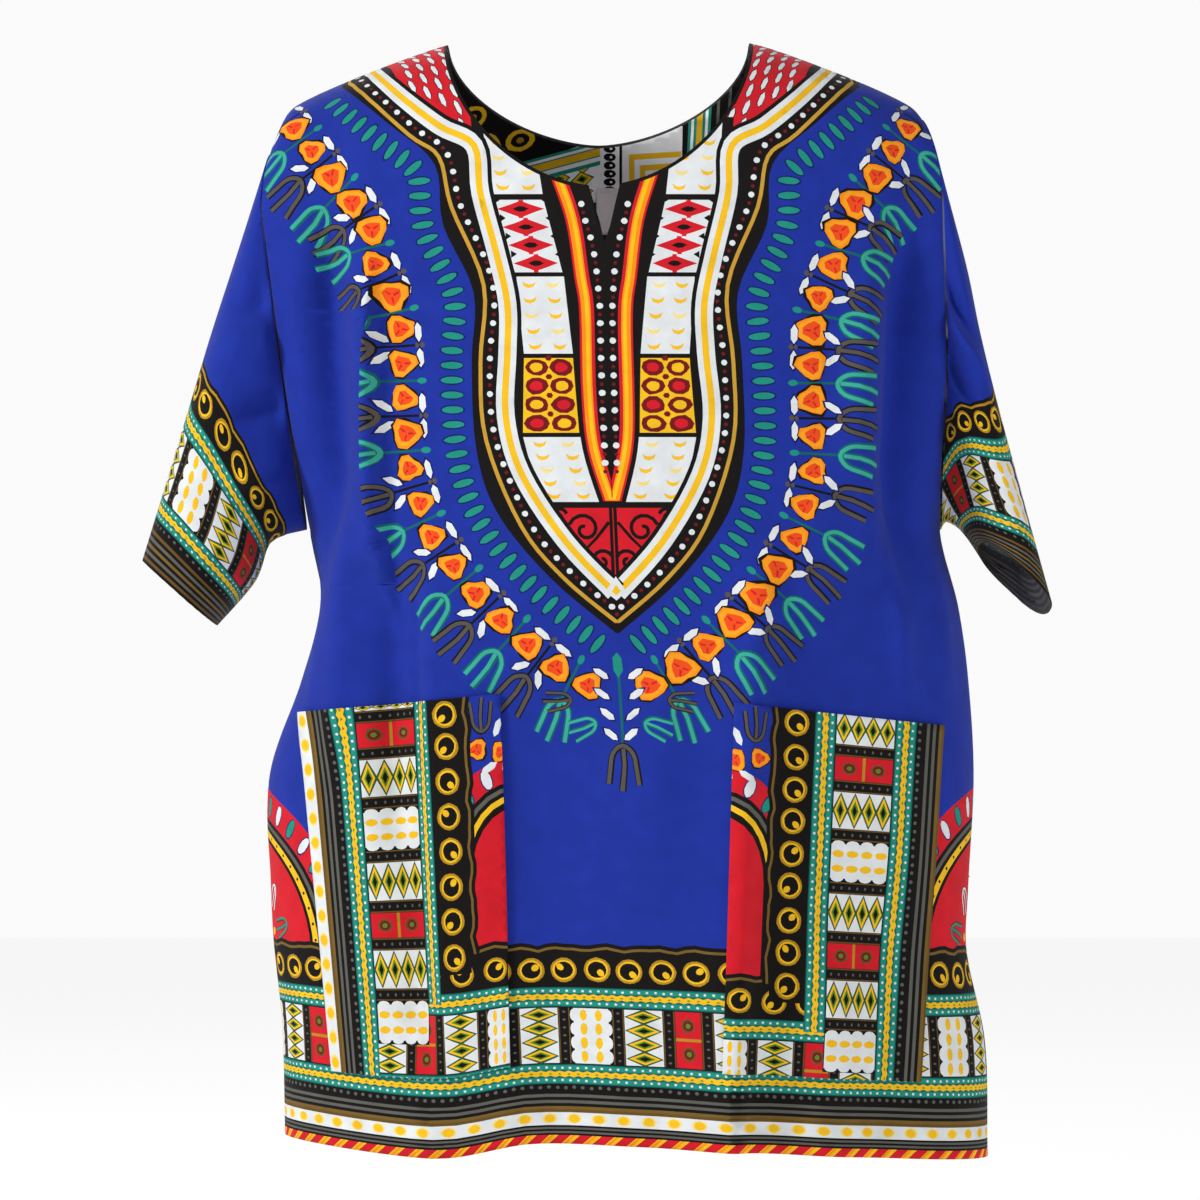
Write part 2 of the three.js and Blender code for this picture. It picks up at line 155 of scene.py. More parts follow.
def cubic(start, rise, m0, m1, t):
    """A smooth step from start by rise, with slopes m0 and m1 at its ends."""
    return start + t * (m0 + t * (3 * rise - 2 * m0 - m1 + t * (m0 + m1 - 2 * rise)))


def curve(rows, key, want):
    """A smooth curve through two columns of a table."""
    points = sorted((row[key], row[want]) for row in rows)
    xs, ys = np.array(points, float).T
    n = len(xs)
    ahead, behind = np.minimum(np.arange(n) + 1, n - 1), np.maximum(np.arange(n) - 1, 0)
    slopes = (ys[ahead] - ys[behind]) / (xs[ahead] - xs[behind])

    def at(v):
        v = np.clip(v, xs[0], xs[-1])
        i = np.clip(np.searchsorted(xs, v, side="right") - 1, 0, n - 2)
        h = xs[i + 1] - xs[i]
        t = (v - xs[i]) / h
        return cubic(ys[i], ys[i + 1] - ys[i], slopes[i] * h, slopes[i + 1] * h, t)

    return at


left_at, right_at, centre_at, front_at, back_at = (curve(SECTIONS, 0, k) for k in range(1, 6))
shoulder_at = curve(SHOULDER_LINE, 0, 1)
hem_at = curve(HEM_LINE, 0, 1)


def smooth(v):
    """A soft step from 0 to 1."""
    v = np.clip(v, 0, 1)
    return v * v * (3 - 2 * v)


def quarter(t, power):
    """A quarter of a rounded square: from 1 at t = 0 to 0 at t = 1."""
    return (1 - np.clip(t, 0, 1) ** power) ** (1 / power)


def shoulder_level(x):
    return shoulder_at(np.abs(x - SHOULDER_MIDDLE))


def armhole_x(side, z):
    edge = (left_at if side < 0 else right_at)(np.minimum(z, SHOULDER_Z))
    base = SECTIONS[0][1] if side < 0 else SECTIONS[0][2]
    top = base * (1 - (LEAN_LEFT if side < 0 else LEAN_RIGHT))
    up = np.clip((z - SHOULDER_Z) / (shoulder_level(top) - SHOULDER_Z), 0, 1)
    return edge + (top - base) * up * up


def half_section(z, side, face):
    """Middle, depth, half width and used share of one half of a level section."""
    middle = centre_at(z)
    edge = np.where(side < 0, left_at(z), right_at(z))
    depth = (front_at if face == "front" else back_at)(z)
    down = (SHOULDER_Z - z) / (SHOULDER_Z - ARMPIT_Z)
    arm = np.where(z > ARMPIT_Z, ARMHOLE_DEPTH * quarter(down, RING_ROUND), 0)
    share = (1 - (arm / depth) ** ROUNDNESS) ** (1 / ROUNDNESS)
    return middle, depth, np.abs(edge - middle) / share, share


def crest_at(a, b, c, t):
    """The way of a fold's crest through its x at the top, middle and bottom."""
    return a * (1 - t) * (1 - 2 * t) + 4 * b * t * (1 - t) + c * t * (2 * t - 1)


def fold_height(folds, x, z):
    total = np.zeros_like(x)
    for top, bottom, a, b, c, height, to_left, to_right, sharp in folds:
        t = (z - top) / (bottom - top)
        crest = crest_at(a, b, c, t)
        off = (x - crest) / np.where(x < crest, to_left, to_right)
        across = np.exp(-1.6 * (np.sqrt(off * off + 0.01) - 0.1)) if sharp else np.exp(-off * off)
        ends = smooth((top - z) / FOLD_FADE) * smooth((z - bottom) / FOLD_FADE)
        total += np.where((t > 0) & (t < 1), height * across * ends, 0)
    return total


def body_point(face, across, level, up, lift=0.0, plain=False):
    """A point of the front or the back. across runs from -1 to 1 between its side edges."""
    side = np.where(across < 0, -1.0, 1.0)
    sign = -1.0 if face == "front" else 1.0
    middle, depth, half, share = half_section(level, side, face)
    out = np.sin(np.abs(across) * math.pi / 2) ** (2 / ROUNDNESS) * share
    deep = quarter(out, ROUNDNESS)
    x, y, z = middle + side * half * out, sign * depth * deep, level
    slope_x = side * out ** (ROUNDNESS - 1) / half
    slope_y = sign * deep ** (ROUNDNESS - 1) / depth
    size = np.hypot(slope_x, slope_y)
    folds = FRONT_FOLDS + FRONT_CREASES if face == "front" else BACK_FOLDS + BACK_CREASES
    move = lift if plain else fold_height(folds, x, level) + lift
    top = x * (1 - np.where(side < 0, LEAN_LEFT, LEAN_RIGHT))
    over = SHOULDER_Z + (shoulder_level(top) - SHOULDER_Z) * up
    uneven = 0 if plain else (hem_at(x) - HEM_Z) * smooth((HEM_Z + HEM_REACH - level) / HEM_REACH)
    z = np.where(up > 0, over, level + uneven)
    moved = x + slope_x / size * move
    x = moved + (top - moved) * up * up
    y = (y + slope_y / size * move) * quarter(up, SHOULDER_ROUND)
    return np.stack([x, y, z], -1)


# ---- Flat cloth: u is the distance round from the centre line, v the distance up --------
def lengths(points):
    """How far each point of each row lies along that row."""
    steps = np.linalg.norm(np.diff(points, axis=1), axis=2)
    return np.concatenate([np.zeros((len(points), 1)), np.cumsum(steps, axis=1)], axis=1)


def between(at, known, points):
    """Points in space, read off a line of them at the places at."""
    return np.stack([np.interp(at, known, points[:, k]) for k in range(3)], -1)


class Panel:
    """The front or the back, with the way from flat cloth to the shirt and back."""

    ROWS, STEPS, COLUMNS = 61, 401, 81

    def __init__(self, face):
        self.face = face
        self.levels = np.linspace(HEM_Z, SHOULDER_Z, self.ROWS)
        self.acrosses = np.linspace(-1, 1, self.STEPS)
        grid_level, grid_across = np.meshgrid(self.levels, self.acrosses, indexing="ij")
        flat = body_point(face, grid_across, grid_level, 0 * grid_level, plain=True)
        along = lengths(flat)
        middle = self.STEPS // 2
        self.round = along - along[:, middle:middle + 1]
        self.columns = np.linspace(-1, 1, self.COLUMNS)
        self.ups = np.sin(np.linspace(0, math.pi / 2, self.ROWS)) ** (2 / SHOULDER_ROUND)
        grid_column, grid_up = np.meshgrid(self.columns, self.ups, indexing="ij")
        over = body_point(face, grid_column, 0 * grid_up + SHOULDER_Z, grid_up, plain=True)
        self.over = lengths(over)

    def _rows(self, places, rows, at, work):
        """Runs work(row, subset) on the two rows of a table next to each point, and mixes."""
        i = np.clip(np.searchsorted(rows, at, side="right") - 1, 0, len(rows) - 2)
        t = np.clip((at - rows[i]) / (rows[i + 1] - rows[i]), 0, 1)
        result = np.zeros_like(at)
        for row in np.unique(i):
            chosen = i == row
            low, high = work(row, places[chosen]), work(row + 1, places[chosen])
            result[chosen] = low + (high - low) * t[chosen]
        return result

    def place(self, u, v):
        """Flat cloth to (across, level, up)."""
        level = np.minimum(v, SHOULDER_Z)
        across = self._rows(u, self.levels, level, lambda r, p: np.interp(p, self.round[r], self.acrosses))
        past = np.maximum(v - SHOULDER_Z, 0)
        up = self._rows(past, self.columns, across, lambda r, p: np.interp(p, self.over[r], self.ups))
        return across, level, np.where(v > SHOULDER_Z, up, 0)

    def point(self, u, v, lift=0.0):
        across, level, up = self.place(u, v)
        return body_point(self.face, across, level, up, lift)

    def flat(self, x, z):
        """A point seen from the front to flat cloth."""
        x, z = np.asarray(x, float), np.asarray(z, float)
        side = np.where(x < centre_at(np.minimum(z, SHOULDER_Z)), -1.0, 1.0)
        level = np.minimum(z, SHOULDER_Z)
        up = np.where(z > SHOULDER_Z, np.clip((z - SHOULDER_Z) / (shoulder_level(x) - SHOULDER_Z), 0, 1), 0)
        wide = x / (1 - np.where(side < 0, LEAN_LEFT, LEAN_RIGHT) * up * up)
        middle, depth, half, share = half_section(level, side, self.face)
        out = np.clip(np.abs(wide - middle) / half, 0, share)
        across = side * np.arcsin((out / share) ** (ROUNDNESS / 2)) * 2 / math.pi
        u = self._rows(across, self.levels, level, lambda r, p: np.interp(p, self.acrosses, self.round[r]))
        v = self._rows(up, self.columns, across, lambda r, p: np.interp(p, self.ups, self.over[r]))
        return np.stack([u, np.where(z > SHOULDER_Z, SHOULDER_Z + v, level)], -1)

    def edge(self):
        """The outline of the flat cloth."""
        left = np.stack([self.round[:, 0], self.levels], -1)
        right = np.stack([self.round[:, -1], self.levels], -1)
        top_u = np.interp(self.columns, self.acrosses, self.round[-1])
        top = np.stack([top_u, SHOULDER_Z + self.over[:, -1]], -1)
        hem = np.linspace(left[0, 0], right[0, 0], 60)
        bottom = np.stack([hem, np.full(len(hem), HEM_Z)], -1)
        return np.concatenate([bottom, right[1:], top[::-1], left[::-1][:-1]])


panels = {face: Panel(face) for face in ("front", "back")}


def to_flat(face, points):
    x, z = np.array(points, float).T
    return panels[face].flat(x, z)


class Sleeve:
    """A sleeve. a is the distance round from the underarm by way of the front, and d the
    distance up from the cuff."""

    ROUND = 365.0
    SEAM_GAP = 0.9
    STEPS = 180  # equal steps round each ring
    BETWEEN = 12  # rows from one ring to the next

    def __init__(self, side, rings):
        self.side = side
        top = float(shoulder_level(armhole_x(side, 0.0)))
        widest = (top - SHOULDER_Z) / (top - ARMPIT_Z)
        turns = np.linspace(math.pi, -math.pi, 241)
        share = (1 - np.cos(turns)) / 2
        stack = []
        for ring in [None] + list(rings):
            if ring is None:
                z = top + (ARMPIT_Z - top) * share
                x = armhole_x(side, z) + side * self.SEAM_GAP
                depth, wide, tip = ARMHOLE_DEPTH, widest, 0.0
            else:
                outer_x, outer_z, inner_x, inner_z, depth, wide, tip = ring
                x, z = outer_x + (inner_x - outer_x) * share, outer_z + (inner_z - outer_z) * share
            reach = np.where(share < wide, quarter((wide - share) / wide, SHOULDER_ROUND),
                             quarter((share - wide) / (1 - wide), RING_ROUND))
            y = np.where(turns > 0, -1, 1) * depth * reach
            stack.append(np.stack([x, y, z - tip * y / depth / 2], -1))
        stack = np.array(stack[::-1])
        # Each ring again, at equal steps round it, and then a smooth way through them from the cuff up.
        even = [between(np.linspace(0, along[-1], self.STEPS + 1), along, ring)
                for ring, along in zip(stack, lengths(stack))]
        self.rings = fillet(even, self.BETWEEN)
        self.up = lengths(self.rings.transpose(1, 0, 2))

    def point(self, a, d):
        k = np.clip(a / self.ROUND, 0, 1) * self.STEPS
        column = np.clip(k.astype(int), 0, self.STEPS - 1)
        mix = (k - column)[:, None]
        result, centre = np.zeros((len(a), 3)), np.zeros((len(a), 3))
        centres = self.rings.mean(1)
        rows = np.arange(len(centres))
        for c in np.unique(column):
            chosen = column == c
            for which, weight in ((c, 1 - mix[chosen]), (c + 1, mix[chosen])):
                far = self.up[which]
                row = np.interp(d[chosen] / self.top(a[chosen]) * far[-1], far, rows)
                result[chosen] += weight * between(row, rows, self.rings[:, which])
                centre[chosen] += weight * between(row, rows, centres)
        away = result - centre
        return result + away / np.linalg.norm(away, axis=1)[:, None] * self.crease(a, d)[:, None]

    def crease(self, a, d):
        """How far the creases push the cloth out, or in where it is below 0."""
        total = np.zeros(len(a))
        for a0, d0, a1, d1, height, reach in SLEEVE_CREASES:
            far = math.hypot(a1 - a0, d1 - d0)
            t = ((a - a0) * (a1 - a0) + (d - d0) * (d1 - d0)) / far ** 2
            off = ((a - a0) * (d1 - d0) - (d - d0) * (a1 - a0)) / far
            total += height * np.exp(-(off / reach) ** 2) * smooth(t / 0.3) * smooth((1 - t) / 0.3)
        return total * smooth((self.top(a) - d) / 24) * smooth(d / 24)

    def top(self, a):
        return np.interp(np.clip(a / self.ROUND, 0, 1), np.linspace(0, 1, self.STEPS + 1), self.up[:, -1])

    def edge(self):
        a = np.linspace(0, self.ROUND, 121)
        cuff = np.stack([a, 0 * a], -1)
        return np.concatenate([cuff, np.stack([a, self.top(a)], -1)[::-1]])


# ---- Ink --------------------------------------------------------------------------------
def ink(*colour):
    """A screen colour, 0 to 255, as the linear one that a shader takes."""
    return tuple((c / 255 / 12.92) if c <= 10 else ((c / 255 + 0.055) / 1.055) ** 2.4 for c in colour)


BLUE, BLACK, WHITE = ink(27, 48, 151), ink(18, 15, 14), ink(220, 224, 226)
YELLOW, ORANGE, RED_ORANGE = ink(240, 188, 30), ink(248, 142, 18), ink(234, 78, 24)
RED, TEAL, DARK_TEAL = ink(206, 26, 40), ink(30, 140, 122), ink(14, 98, 92)
GOLD, DARK_RED, GREY, BROWN = ink(176, 134, 30), ink(112, 20, 26), ink(92, 92, 86), ink(102, 76, 32)
GREEN, DARK_GREEN = ink(86, 132, 40), ink(44, 84, 52)
PALE_YELLOW, LIGHT_TEAL, SOOT = ink(240, 214, 130), ink(56, 164, 146), ink(84, 78, 74)
NAVY, DARK_GOLD, AMBER = ink(18, 26, 96), ink(116, 90, 40), ink(246, 158, 32)
# The second colour on the next line is painted light: the print's white made brighter for the neck facing,
# which lies in shade inside the neck.
OLD_GOLD, PAINTED_LIGHT_WHITE = ink(196, 150, 52), ink(246, 247, 248)
# The second tape colour on this line is painted shade: a darker band along the fold at the top of the tape.
TAPE, TAPE_FOLD_PAINTED_SHADE = ink(250, 240, 243), ink(236, 222, 228)

rng = random.Random(11)


def shake(amount):
    return rng.uniform(-amount, amount)


def fillet(points, steps):
    """A smooth line through a few points."""
    p = np.array(points, float)
    n = len(p)
    result = []
    for i in range(n - 1):
        a, b = p[i], p[i + 1]
        before, after = p[max(i - 1, 0)], p[min(i + 2, n - 1)]
        for s in range(steps):
            t = s / steps
            result.append(cubic(a, b - a, (b - before) / 2, (after - a) / 2, t))
    result.append(p[-1])
    return np.array(result)


def walk(line, pitch, start=0.5):
    """Places at equal steps along a line: (x, y, direction)."""
    line = np.asarray(line, float)
    far = np.concatenate([[0], np.cumsum(np.hypot(*np.diff(line, axis=0).T))])
    count = max(int(far[-1] / pitch), 1)
    for i in range(count):
        s = (i + start) * far[-1] / count
        (x1, y1), (x, y), (x2, y2) = ([np.interp(s + off, far, c) for c in line.T] for off in (-0.5, 0, 0.5))
        yield x, y, math.atan2(y2 - y1, x2 - x1)


def turned(p, x, y, turn):
    """Drawn points, put down at x, y with their own +x along turn."""
    c, s = math.cos(turn), math.sin(turn)
    return np.stack([x + p[:, 0] * c - p[:, 1] * s, y + p[:, 0] * s + p[:, 1] * c], -1)


def oval(x, y, wide, tall, turn=0.0, n=9, rough=0.05):
    a = np.arange(n) * 2 * math.pi / n
    r = 1 + np.array([shake(rough) for _ in range(n)])
    return turned(np.stack([np.cos(a) * wide * r, np.sin(a) * tall * r], -1), x, y, turn)


def shape(points, x, y, turn, size=1.0, rough=0.03):
    p = np.array(points, float) * size
    p += np.array([[shake(rough * size), shake(rough * size)] for _ in p])
    return turned(p, x, y, turn)


def diamond(wide, tall):
    return [(-wide, 0), (0, tall), (wide, 0), (0, -tall)]


def around(x, y, radius, count):
    """Places at equal steps over a half round, from the right: (x, y, direction, number)."""
    for k in range(count):
        turn = (k + 0.5) * math.pi / count
        yield x + math.cos(turn) * radius, y + math.sin(turn) * radius, turn, k


def stroke(line, wide):
    """A line with a width, as one outline."""
    line = np.asarray(line, float)
    along = np.gradient(line, axis=0)
    along /= np.linalg.norm(along, axis=1)[:, None] + 1e-9
    side = np.stack([-along[:, 1], along[:, 0]], -1) * (wide / 2)
    return np.concatenate([line + side, (line - side)[::-1]])


def bar(x0, y0, x1, y1, steps=1):
    """A rectangle, cut into steps along x."""
    xs = np.linspace(x0, x1, steps + 1)
    return np.concatenate([np.stack([xs, 0 * xs + y0], -1), np.stack([xs, 0 * xs + y1], -1)[::-1]])


LEAF = [(-9, 0), (-5, 3), (4, 3.1), (9, 0), (4, -3.1), (-5, -3)]


def cut_long(p, longest):
    """The same outline, with points added along its long edges."""
    gap = np.roll(p, -1, axis=0) - p
    cuts = np.ceil(np.hypot(*gap.T) / longest).astype(int).clip(1)
    if cuts.max() == 1:
        return p
    return np.concatenate([p[i] + gap[i] * (np.arange(n)[:, None] / n) for i, n in enumerate(cuts)])


class Art:
    """Inked shapes on flat cloth. Later ones lie over earlier ones."""

    def __init__(self, ground):
        self.ground = ground
        self.shapes = []

    def add(self, points, colour):
        points = np.asarray(points, float)
        x, y = points.T
        area = np.sum(x * np.roll(y, -1) - y * np.roll(x, -1))
        self.shapes.append((points if area > 0 else points[::-1], colour))

    def paint(self, spots):
        """The ink at each spot: that of the last shape it lies in."""
        result = np.tile(self.ground, (len(spots), 1)).astype(float)
        order = np.argsort(spots[:, 0])
        sorted_x = spots[order, 0]
        for points, colour in self.shapes:
            low, high = points.min(0), points.max(0)
            near = order[np.searchsorted(sorted_x, low[0]):np.searchsorted(sorted_x, high[0])]
            near = near[(spots[near, 1] > low[1]) & (spots[near, 1] < high[1])]
            if not len(near):
                continue
            px, py = spots[near, 0][:, None], spots[near, 1][:, None]
            x1, y1 = points.T
            x2, y2 = np.roll(x1, -1), np.roll(y1, -1)
            left = (x2 - x1) * (py - y1) - (px - x1) * (y2 - y1)
            rising, falling = (y1 <= py) & (y2 > py) & (left > 0), (y2 <= py) & (y1 > py) & (left < 0)
            result[near[rising.sum(1) != falling.sum(1)]] = colour
        return result

    def leaf(self, x, y, turn, size, heart):
        """A white leaf with a dark edge. heart is the size of its white part."""
        self.add(shape(LEAF, x, y, turn, size, 0.3), NAVY)
        self.add(shape(LEAF, x, y, turn, heart, 0.3), WHITE)

    def lens(self, x, y, edge, heart, turn, colour):
        """An oval with a dark edge. edge and heart are the sizes of the two."""
        self.add(oval(x, y, *edge, turn, 10), NAVY)
        self.add(oval(x, y, *heart, turn, 10), colour)

    def flower(self, x, y, size, point):
        """A rounded three-cornered blossom with one corner towards point."""
        size *= 1 + shake(0.14)
        petals = ((1.13, BLACK, 12), (1.0, ORANGE, 12), (0.86, AMBER, 12), (0.6, RED_ORANGE, 9))
        for share, colour, n in petals:
            a = np.arange(n) * 2 * math.pi / n
            r = size * share * (1 + 0.17 * np.cos(3 * (a - point)) + np.array([shake(0.07) for _ in a]))
            self.add(np.stack([x + np.cos(a) * r * 1.06, y + np.sin(a) * r * 0.96], -1), colour)
        for k in range(3):
            turn = point + k * 2.1 + shake(0.5)
            at = x + math.cos(turn), y + math.sin(turn)
            self.add(shape([(0, -0.6), (3.4, -0.5), (4.4, 0.4), (0.6, 0.7)], *at, turn, size / 9, 0.2), RED)

    def fork(self, x, y, turn, size, colour, edge):
        """A round-based fork with three prongs that point along turn."""
        u = fillet([(29, 11), (18, 9.6), (6, 7.4), (0, 0), (6, -7.4), (18, -9.6), (28, -11)], 3)
        prong = np.array([(2, 0), (14, 0.6), (24, -0.4), (33, -1.5)])
        for wide, what in ((4.9, edge), (2.9, colour)):
            for line in (u, prong):
                p = line * size + (shake(0.4), shake(0.4))
                self.add(stroke(turned(p, x, y, turn), wide * size), what)


def parts(low, high, count):
    """The middles of equal parts."""
    return [low + (i + 0.5) * (high - low) / count for i in range(count)]


def count_of(x0, x1, pitch):
    return max(int(abs(x1 - x0) / pitch), 1)


# Bands that run along a straight border. Each draws itself between y0 and y1, from x0 to x1.
def band_plain(art, x0, x1, y0, y1, colour):
    art.add(bar(x0, y0, x1, y1, count_of(x0, x1, 30)), colour)


def band_stripes(art, x0, x1, y0, y1, colours):
    edges = np.linspace(y0, y1, len(colours) + 1)
    for low, high, colour in zip(edges, edges[1:], colours):
        band_plain(art, x0, x1, low, high, colour)


def band_dots(art, x0, x1, y, pitch, size, colour):
    for x in parts(x0, x1, count_of(x0, x1, pitch)):
        art.add(oval(x + shake(0.3), y + shake(0.3), size, size * 0.9, 0, 7), colour)


def band_dashes(art, x0, x1, y0, y1, pitch, colour, lean, fill):
    count = count_of(x0, x1, pitch)
    step = (x1 - x0) / count
    for i in range(count):
        x = x0 + i * step
        stop = x + step * fill
        art.add([(x + shake(0.3), y0), (stop, y0), (stop + lean, y1), (x + lean, y1)], colour)


def band_rings(art, x0, x1, y0, y1):
    """Gold rings on black, each with a bright bead inside it."""
    band_plain(art, x0, x1, y0, y1, BLACK)
    tall = abs(y1 - y0) * 0.35
    for middle in parts(x0, x1, count_of(x0, x1, 23)):
        x, y = middle + shake(1), (y0 + y1) / 2 + shake(0.6)
        turn = rng.choice((0.6, 2.4, 3.9, 5.5))
        art.add(oval(x, y, 9.4, tall, shake(0.2), 16, 0.03), GOLD)
        art.add(oval(x, y, 7.9, tall * 0.82, 0, 14, 0.03), YELLOW)
        art.add(oval(x, y, 6.6, tall * 0.68, 0, 14, 0.03), BLACK)
        art.add(oval(x + math.cos(turn) * 3.4, y + math.sin(turn) * tall * 0.36, 2.9, 2.3, turn, 8), YELLOW)


def band_braid(art, x0, x1, y0, y1):
    """A yellow braid between two rows of white dots on teal."""
    tall = y1 - y0
    band_plain(art, x0, x1, y0, y1, DARK_TEAL)
    for low, high in ((0.06, 0.3), (0.7, 0.94)):
        band_plain(art, x0, x1, y0 + tall * low, y0 + tall * high, TEAL)
        band_dots(art, x0, x1, y0 + tall * (low + high) / 2, 5.6, 1.0, WHITE)
    count = count_of(x0, x1, 6.5)
    xs = x0 + np.arange(2 * count + 1) * (x1 - x0) / (2 * count)
    swing = np.where(np.arange(2 * count + 1) % 2, 1, -1)
    low = y0 + tall * (0.37 + 0.04 * swing)
    high = y0 + tall * (0.63 + 0.04 * swing)
    art.add(np.concatenate([np.stack([xs, low], -1), np.stack([xs, high], -1)[::-1]]), YELLOW)
    for i in range(count):
        x = xs[2 * i] + (x1 - x0) / (2 * count)
        art.add(shape([(-1.5, -0.5), (0, 0.7), (1.5, -0.5)], x, y0 + tall * 0.5, 0, 1, 0.1), GREEN)


def band_wave(art, x0, x1, y, colour, wide):
    """The scalloped black edge of the ring band, with a gold line in it."""
    count = max(int(abs(x1 - x0) / 6), 2)
    xs = np.linspace(x0, x1, count + 1)
    line = np.stack([xs, y + 2.0 * np.abs(np.sin(xs / 10.0)) + 0.5 * np.sin(xs / 3.1)], -1)
    art.add(stroke(line, wide + 5.5), BLACK)
    art.add(stroke(line, wide), colour)


def band_dashed(art, x0, x1, y0, y1):
    """White with soft yellow dashes."""
    band_plain(art, x0, x1, y0, y1, WHITE)
    middle, tall = (y0 + y1) / 2, abs(y1 - y0)
    for x in parts(x0, x1, count_of(x0, x1, 17)):
        art.add(oval(x, middle, 5.6, tall * 0.4, 0, 8, 0.08), PALE_YELLOW)
        art.add(oval(x, middle, 3.9, tall * 0.34, 0, 8, 0.08), YELLOW)


def band_twist(art, x0, x1, y0, y1):
    """Yellow and orange slants on red."""
    band_plain(art, x0, x1, y0, y1, RED)
    band_dashes(art, x0, x1, y0, y1, 15.0, YELLOW, 7.0, 0.42)
    band_dashes(art, x0 + 2, x1, y0, y1, 15.0, ORANGE, 7.0, 0.16)


def block_diamonds(art, x0, x1, y0, y1):
    """A lattice: touching diamonds with white corners between them."""
    band_plain(art, x0, x1, y0, y1, WHITE)
    rows = 3 if abs(y1 - y0) < abs(x1 - x0) * 1.4 else 4
    middle, w, h = (x0 + x1) / 2, abs(x1 - x0) * 0.5, abs(y1 - y0) / rows * 0.5
    for y in parts(y0, y1, rows):
        for share, colour in ((1.0, DARK_GREEN), (0.84, YELLOW), (0.56, GREEN), (0.34, BLACK)):
            tall = h * (share if share < 1 else 1.15)
            art.add(shape(diamond(w * share, tall), middle, y, 0, 1, 0.15), colour)


def block_beads(art, x0, x1, y0, y1):
    band_plain(art, x0, x1, y0, y1, BLACK)
    for x in (x0, x1):
        art.add(bar(x - 0.45, y0, x + 0.45, y1), BROWN)
    for y in parts(y0, y1, 7):
        art.add(oval((x0 + x1) / 2, y, 1.2, 0.8, 0, 6), GREY)


def block_circles(art, x0, x1, y0, y1):
    band_plain(art, x0, x1, y0, y1, RED)
    middle = (x0 + x1) / 2
    art.add(bar(x0, (y0 + y1) / 2 - 1, x1, (y0 + y1) / 2 + 1), GOLD)
    wide, tall = abs(x1 - x0) * 0.27, abs(y1 - y0) * 0.13
    for y in parts(y0, y1, 2):
        for share, colour in ((1.0, BROWN), (0.72, DARK_RED), (0.36, GREEN)):
            art.add(oval(middle, y, wide * share, tall * share, 0, 10), colour)


def block_steps(art, x0, x1, y0, y1):
    """A white block with scalloped edges and two rows of yellow dashes."""
    band_plain(art, x0, x1, y0, y1, BLACK)
    rows, inset = 4, abs(x1 - x0) * 0.08
    art.add(bar(x0 + inset, y0, x1 - inset, y1), WHITE)
    tall = abs(y1 - y0) / rows * 0.44
    for y in parts(y0, y1, rows):
        for x in (x0 + inset, x1 - inset):
            art.add(oval(x, y, inset * 1.1, tall, 0, 10, 0.02), WHITE)
        for share in (0.32, 0.68):
            art.add(oval(x0 + (x1 - x0) * share, y, abs(x1 - x0) * 0.09, tall, 0, 8, 0.06), YELLOW)


def band_ladder(art, x0, x1, y0, y1, first=0):
    """Blocks of the print side by side, from the block numbered first."""
    blocks = [(block_steps, 30), (block_beads, 8), (block_diamonds, 27), (block_beads, 8),
              (block_circles, 18), (block_beads, 8), (block_diamonds, 27), (block_beads, 8)]
    band_plain(art, x0, x1, y0, y1, BLACK)
    x, k = x0, first
    while x1 - x > 4:
        block, wide = blocks[k % len(blocks)]
        stop = x + min(wide, x1 - x)
        block(art, x + 0.4, stop - 0.4, y0 + 0.8, y1 - 0.8)
        x, k = stop, k + 1


def border(art, x0, x1, base=0.0, squeeze=1.0, mitre=None):
    """The hem's border, drawn up from base. mitre(depth) says where a band that lies at
    that depth starts, if it turns a corner."""
    def band(draw, low, high, *rest):
        start = x0 if mitre is None else max(x0, mitre((low + high) / 2))
        if start < x1:
            draw(art, start, x1, base + low * squeeze, base + high * squeeze, *rest)

    band(band_rings, 111, 136)
    band(lambda art, a, b, y0, y1: band_wave(art, a, b, y1, DARK_GOLD, 1.9), 135, 137)
    band(band_braid, 97, 111)
    band(band_ladder, 56, 97)
    band(band_braid, 42, 56)
    band(band_plain, 37, 42, BLACK)
    band(lambda art, a, b, y0, y1: band_dots(art, a, b, (y0 + y1) / 2, 6.0, 1.4, GREY), 37, 42)
    band(band_stripes, 22, 37, [BROWN, DARK_GOLD, BLACK, GREY, BLACK, GREY, BLACK])
    band(band_dashed, 13, 22)
    band(band_stripes, 6, 13, [BLACK, GREY, BLACK, GREY, BLACK])
    band(band_twist, 0, 6)


# ---- The yoke and the garland, as half widths about a centre line that leans a little ----
MIDDLE = [(-452, 9), (-395, 7.5), (-289, 3), (-225, 0.7), (-111, -1), (-5, -4.3)]  # z, x
middle_at = curve(MIDDLE, 0, 1)
# Each row below is (half width, z).
OUTER_EDGE = [
    (183, -33), (150, -62), (118, -91), (113, -133), (92, -181),
    (94, -230), (93, -290), (80, -335), (45, -380), (1, -418),
]
GOLD_EDGE = [
    (178, -30), (136, -70), (115, -86), (107, -121), (85, -176),
    (88, -230), (86, -284), (64, -344), (36, -380), (1, -410),
]
BAND = [
    (164, -19), (140, -43), (114, -64), (90, -78), (86.5, -111), (76, -153),
    (68.5, -189), (69, -224), (71.5, -268), (62, -308), (34, -354), (1, -390),
]
V_LINE = [
    (46, -56), (33.5, -94), (22, -130), (16.5, -169), (13.2, -195), (13, -254), (10.5, -290), (1, -325),
]
DOT_LINE = [
    (17.3, -113), (14.3, -128), (10.3, -142), (7.3, -157), (6, -169), (5, -185), (4.4, -200), (4.2, -306),
]
GARLAND = [
    (222, -52), (205, -76), (186, -103), (167, -125), (159, -154), (148, -180), (142, -204),
    (140, -229), (139.5, -253), (139, -277), (138, -299), (133, -321), (129, -339), (118, -357),
    (108, -373), (91, -394), (70, -416), (44, -438), (20, -452),
]


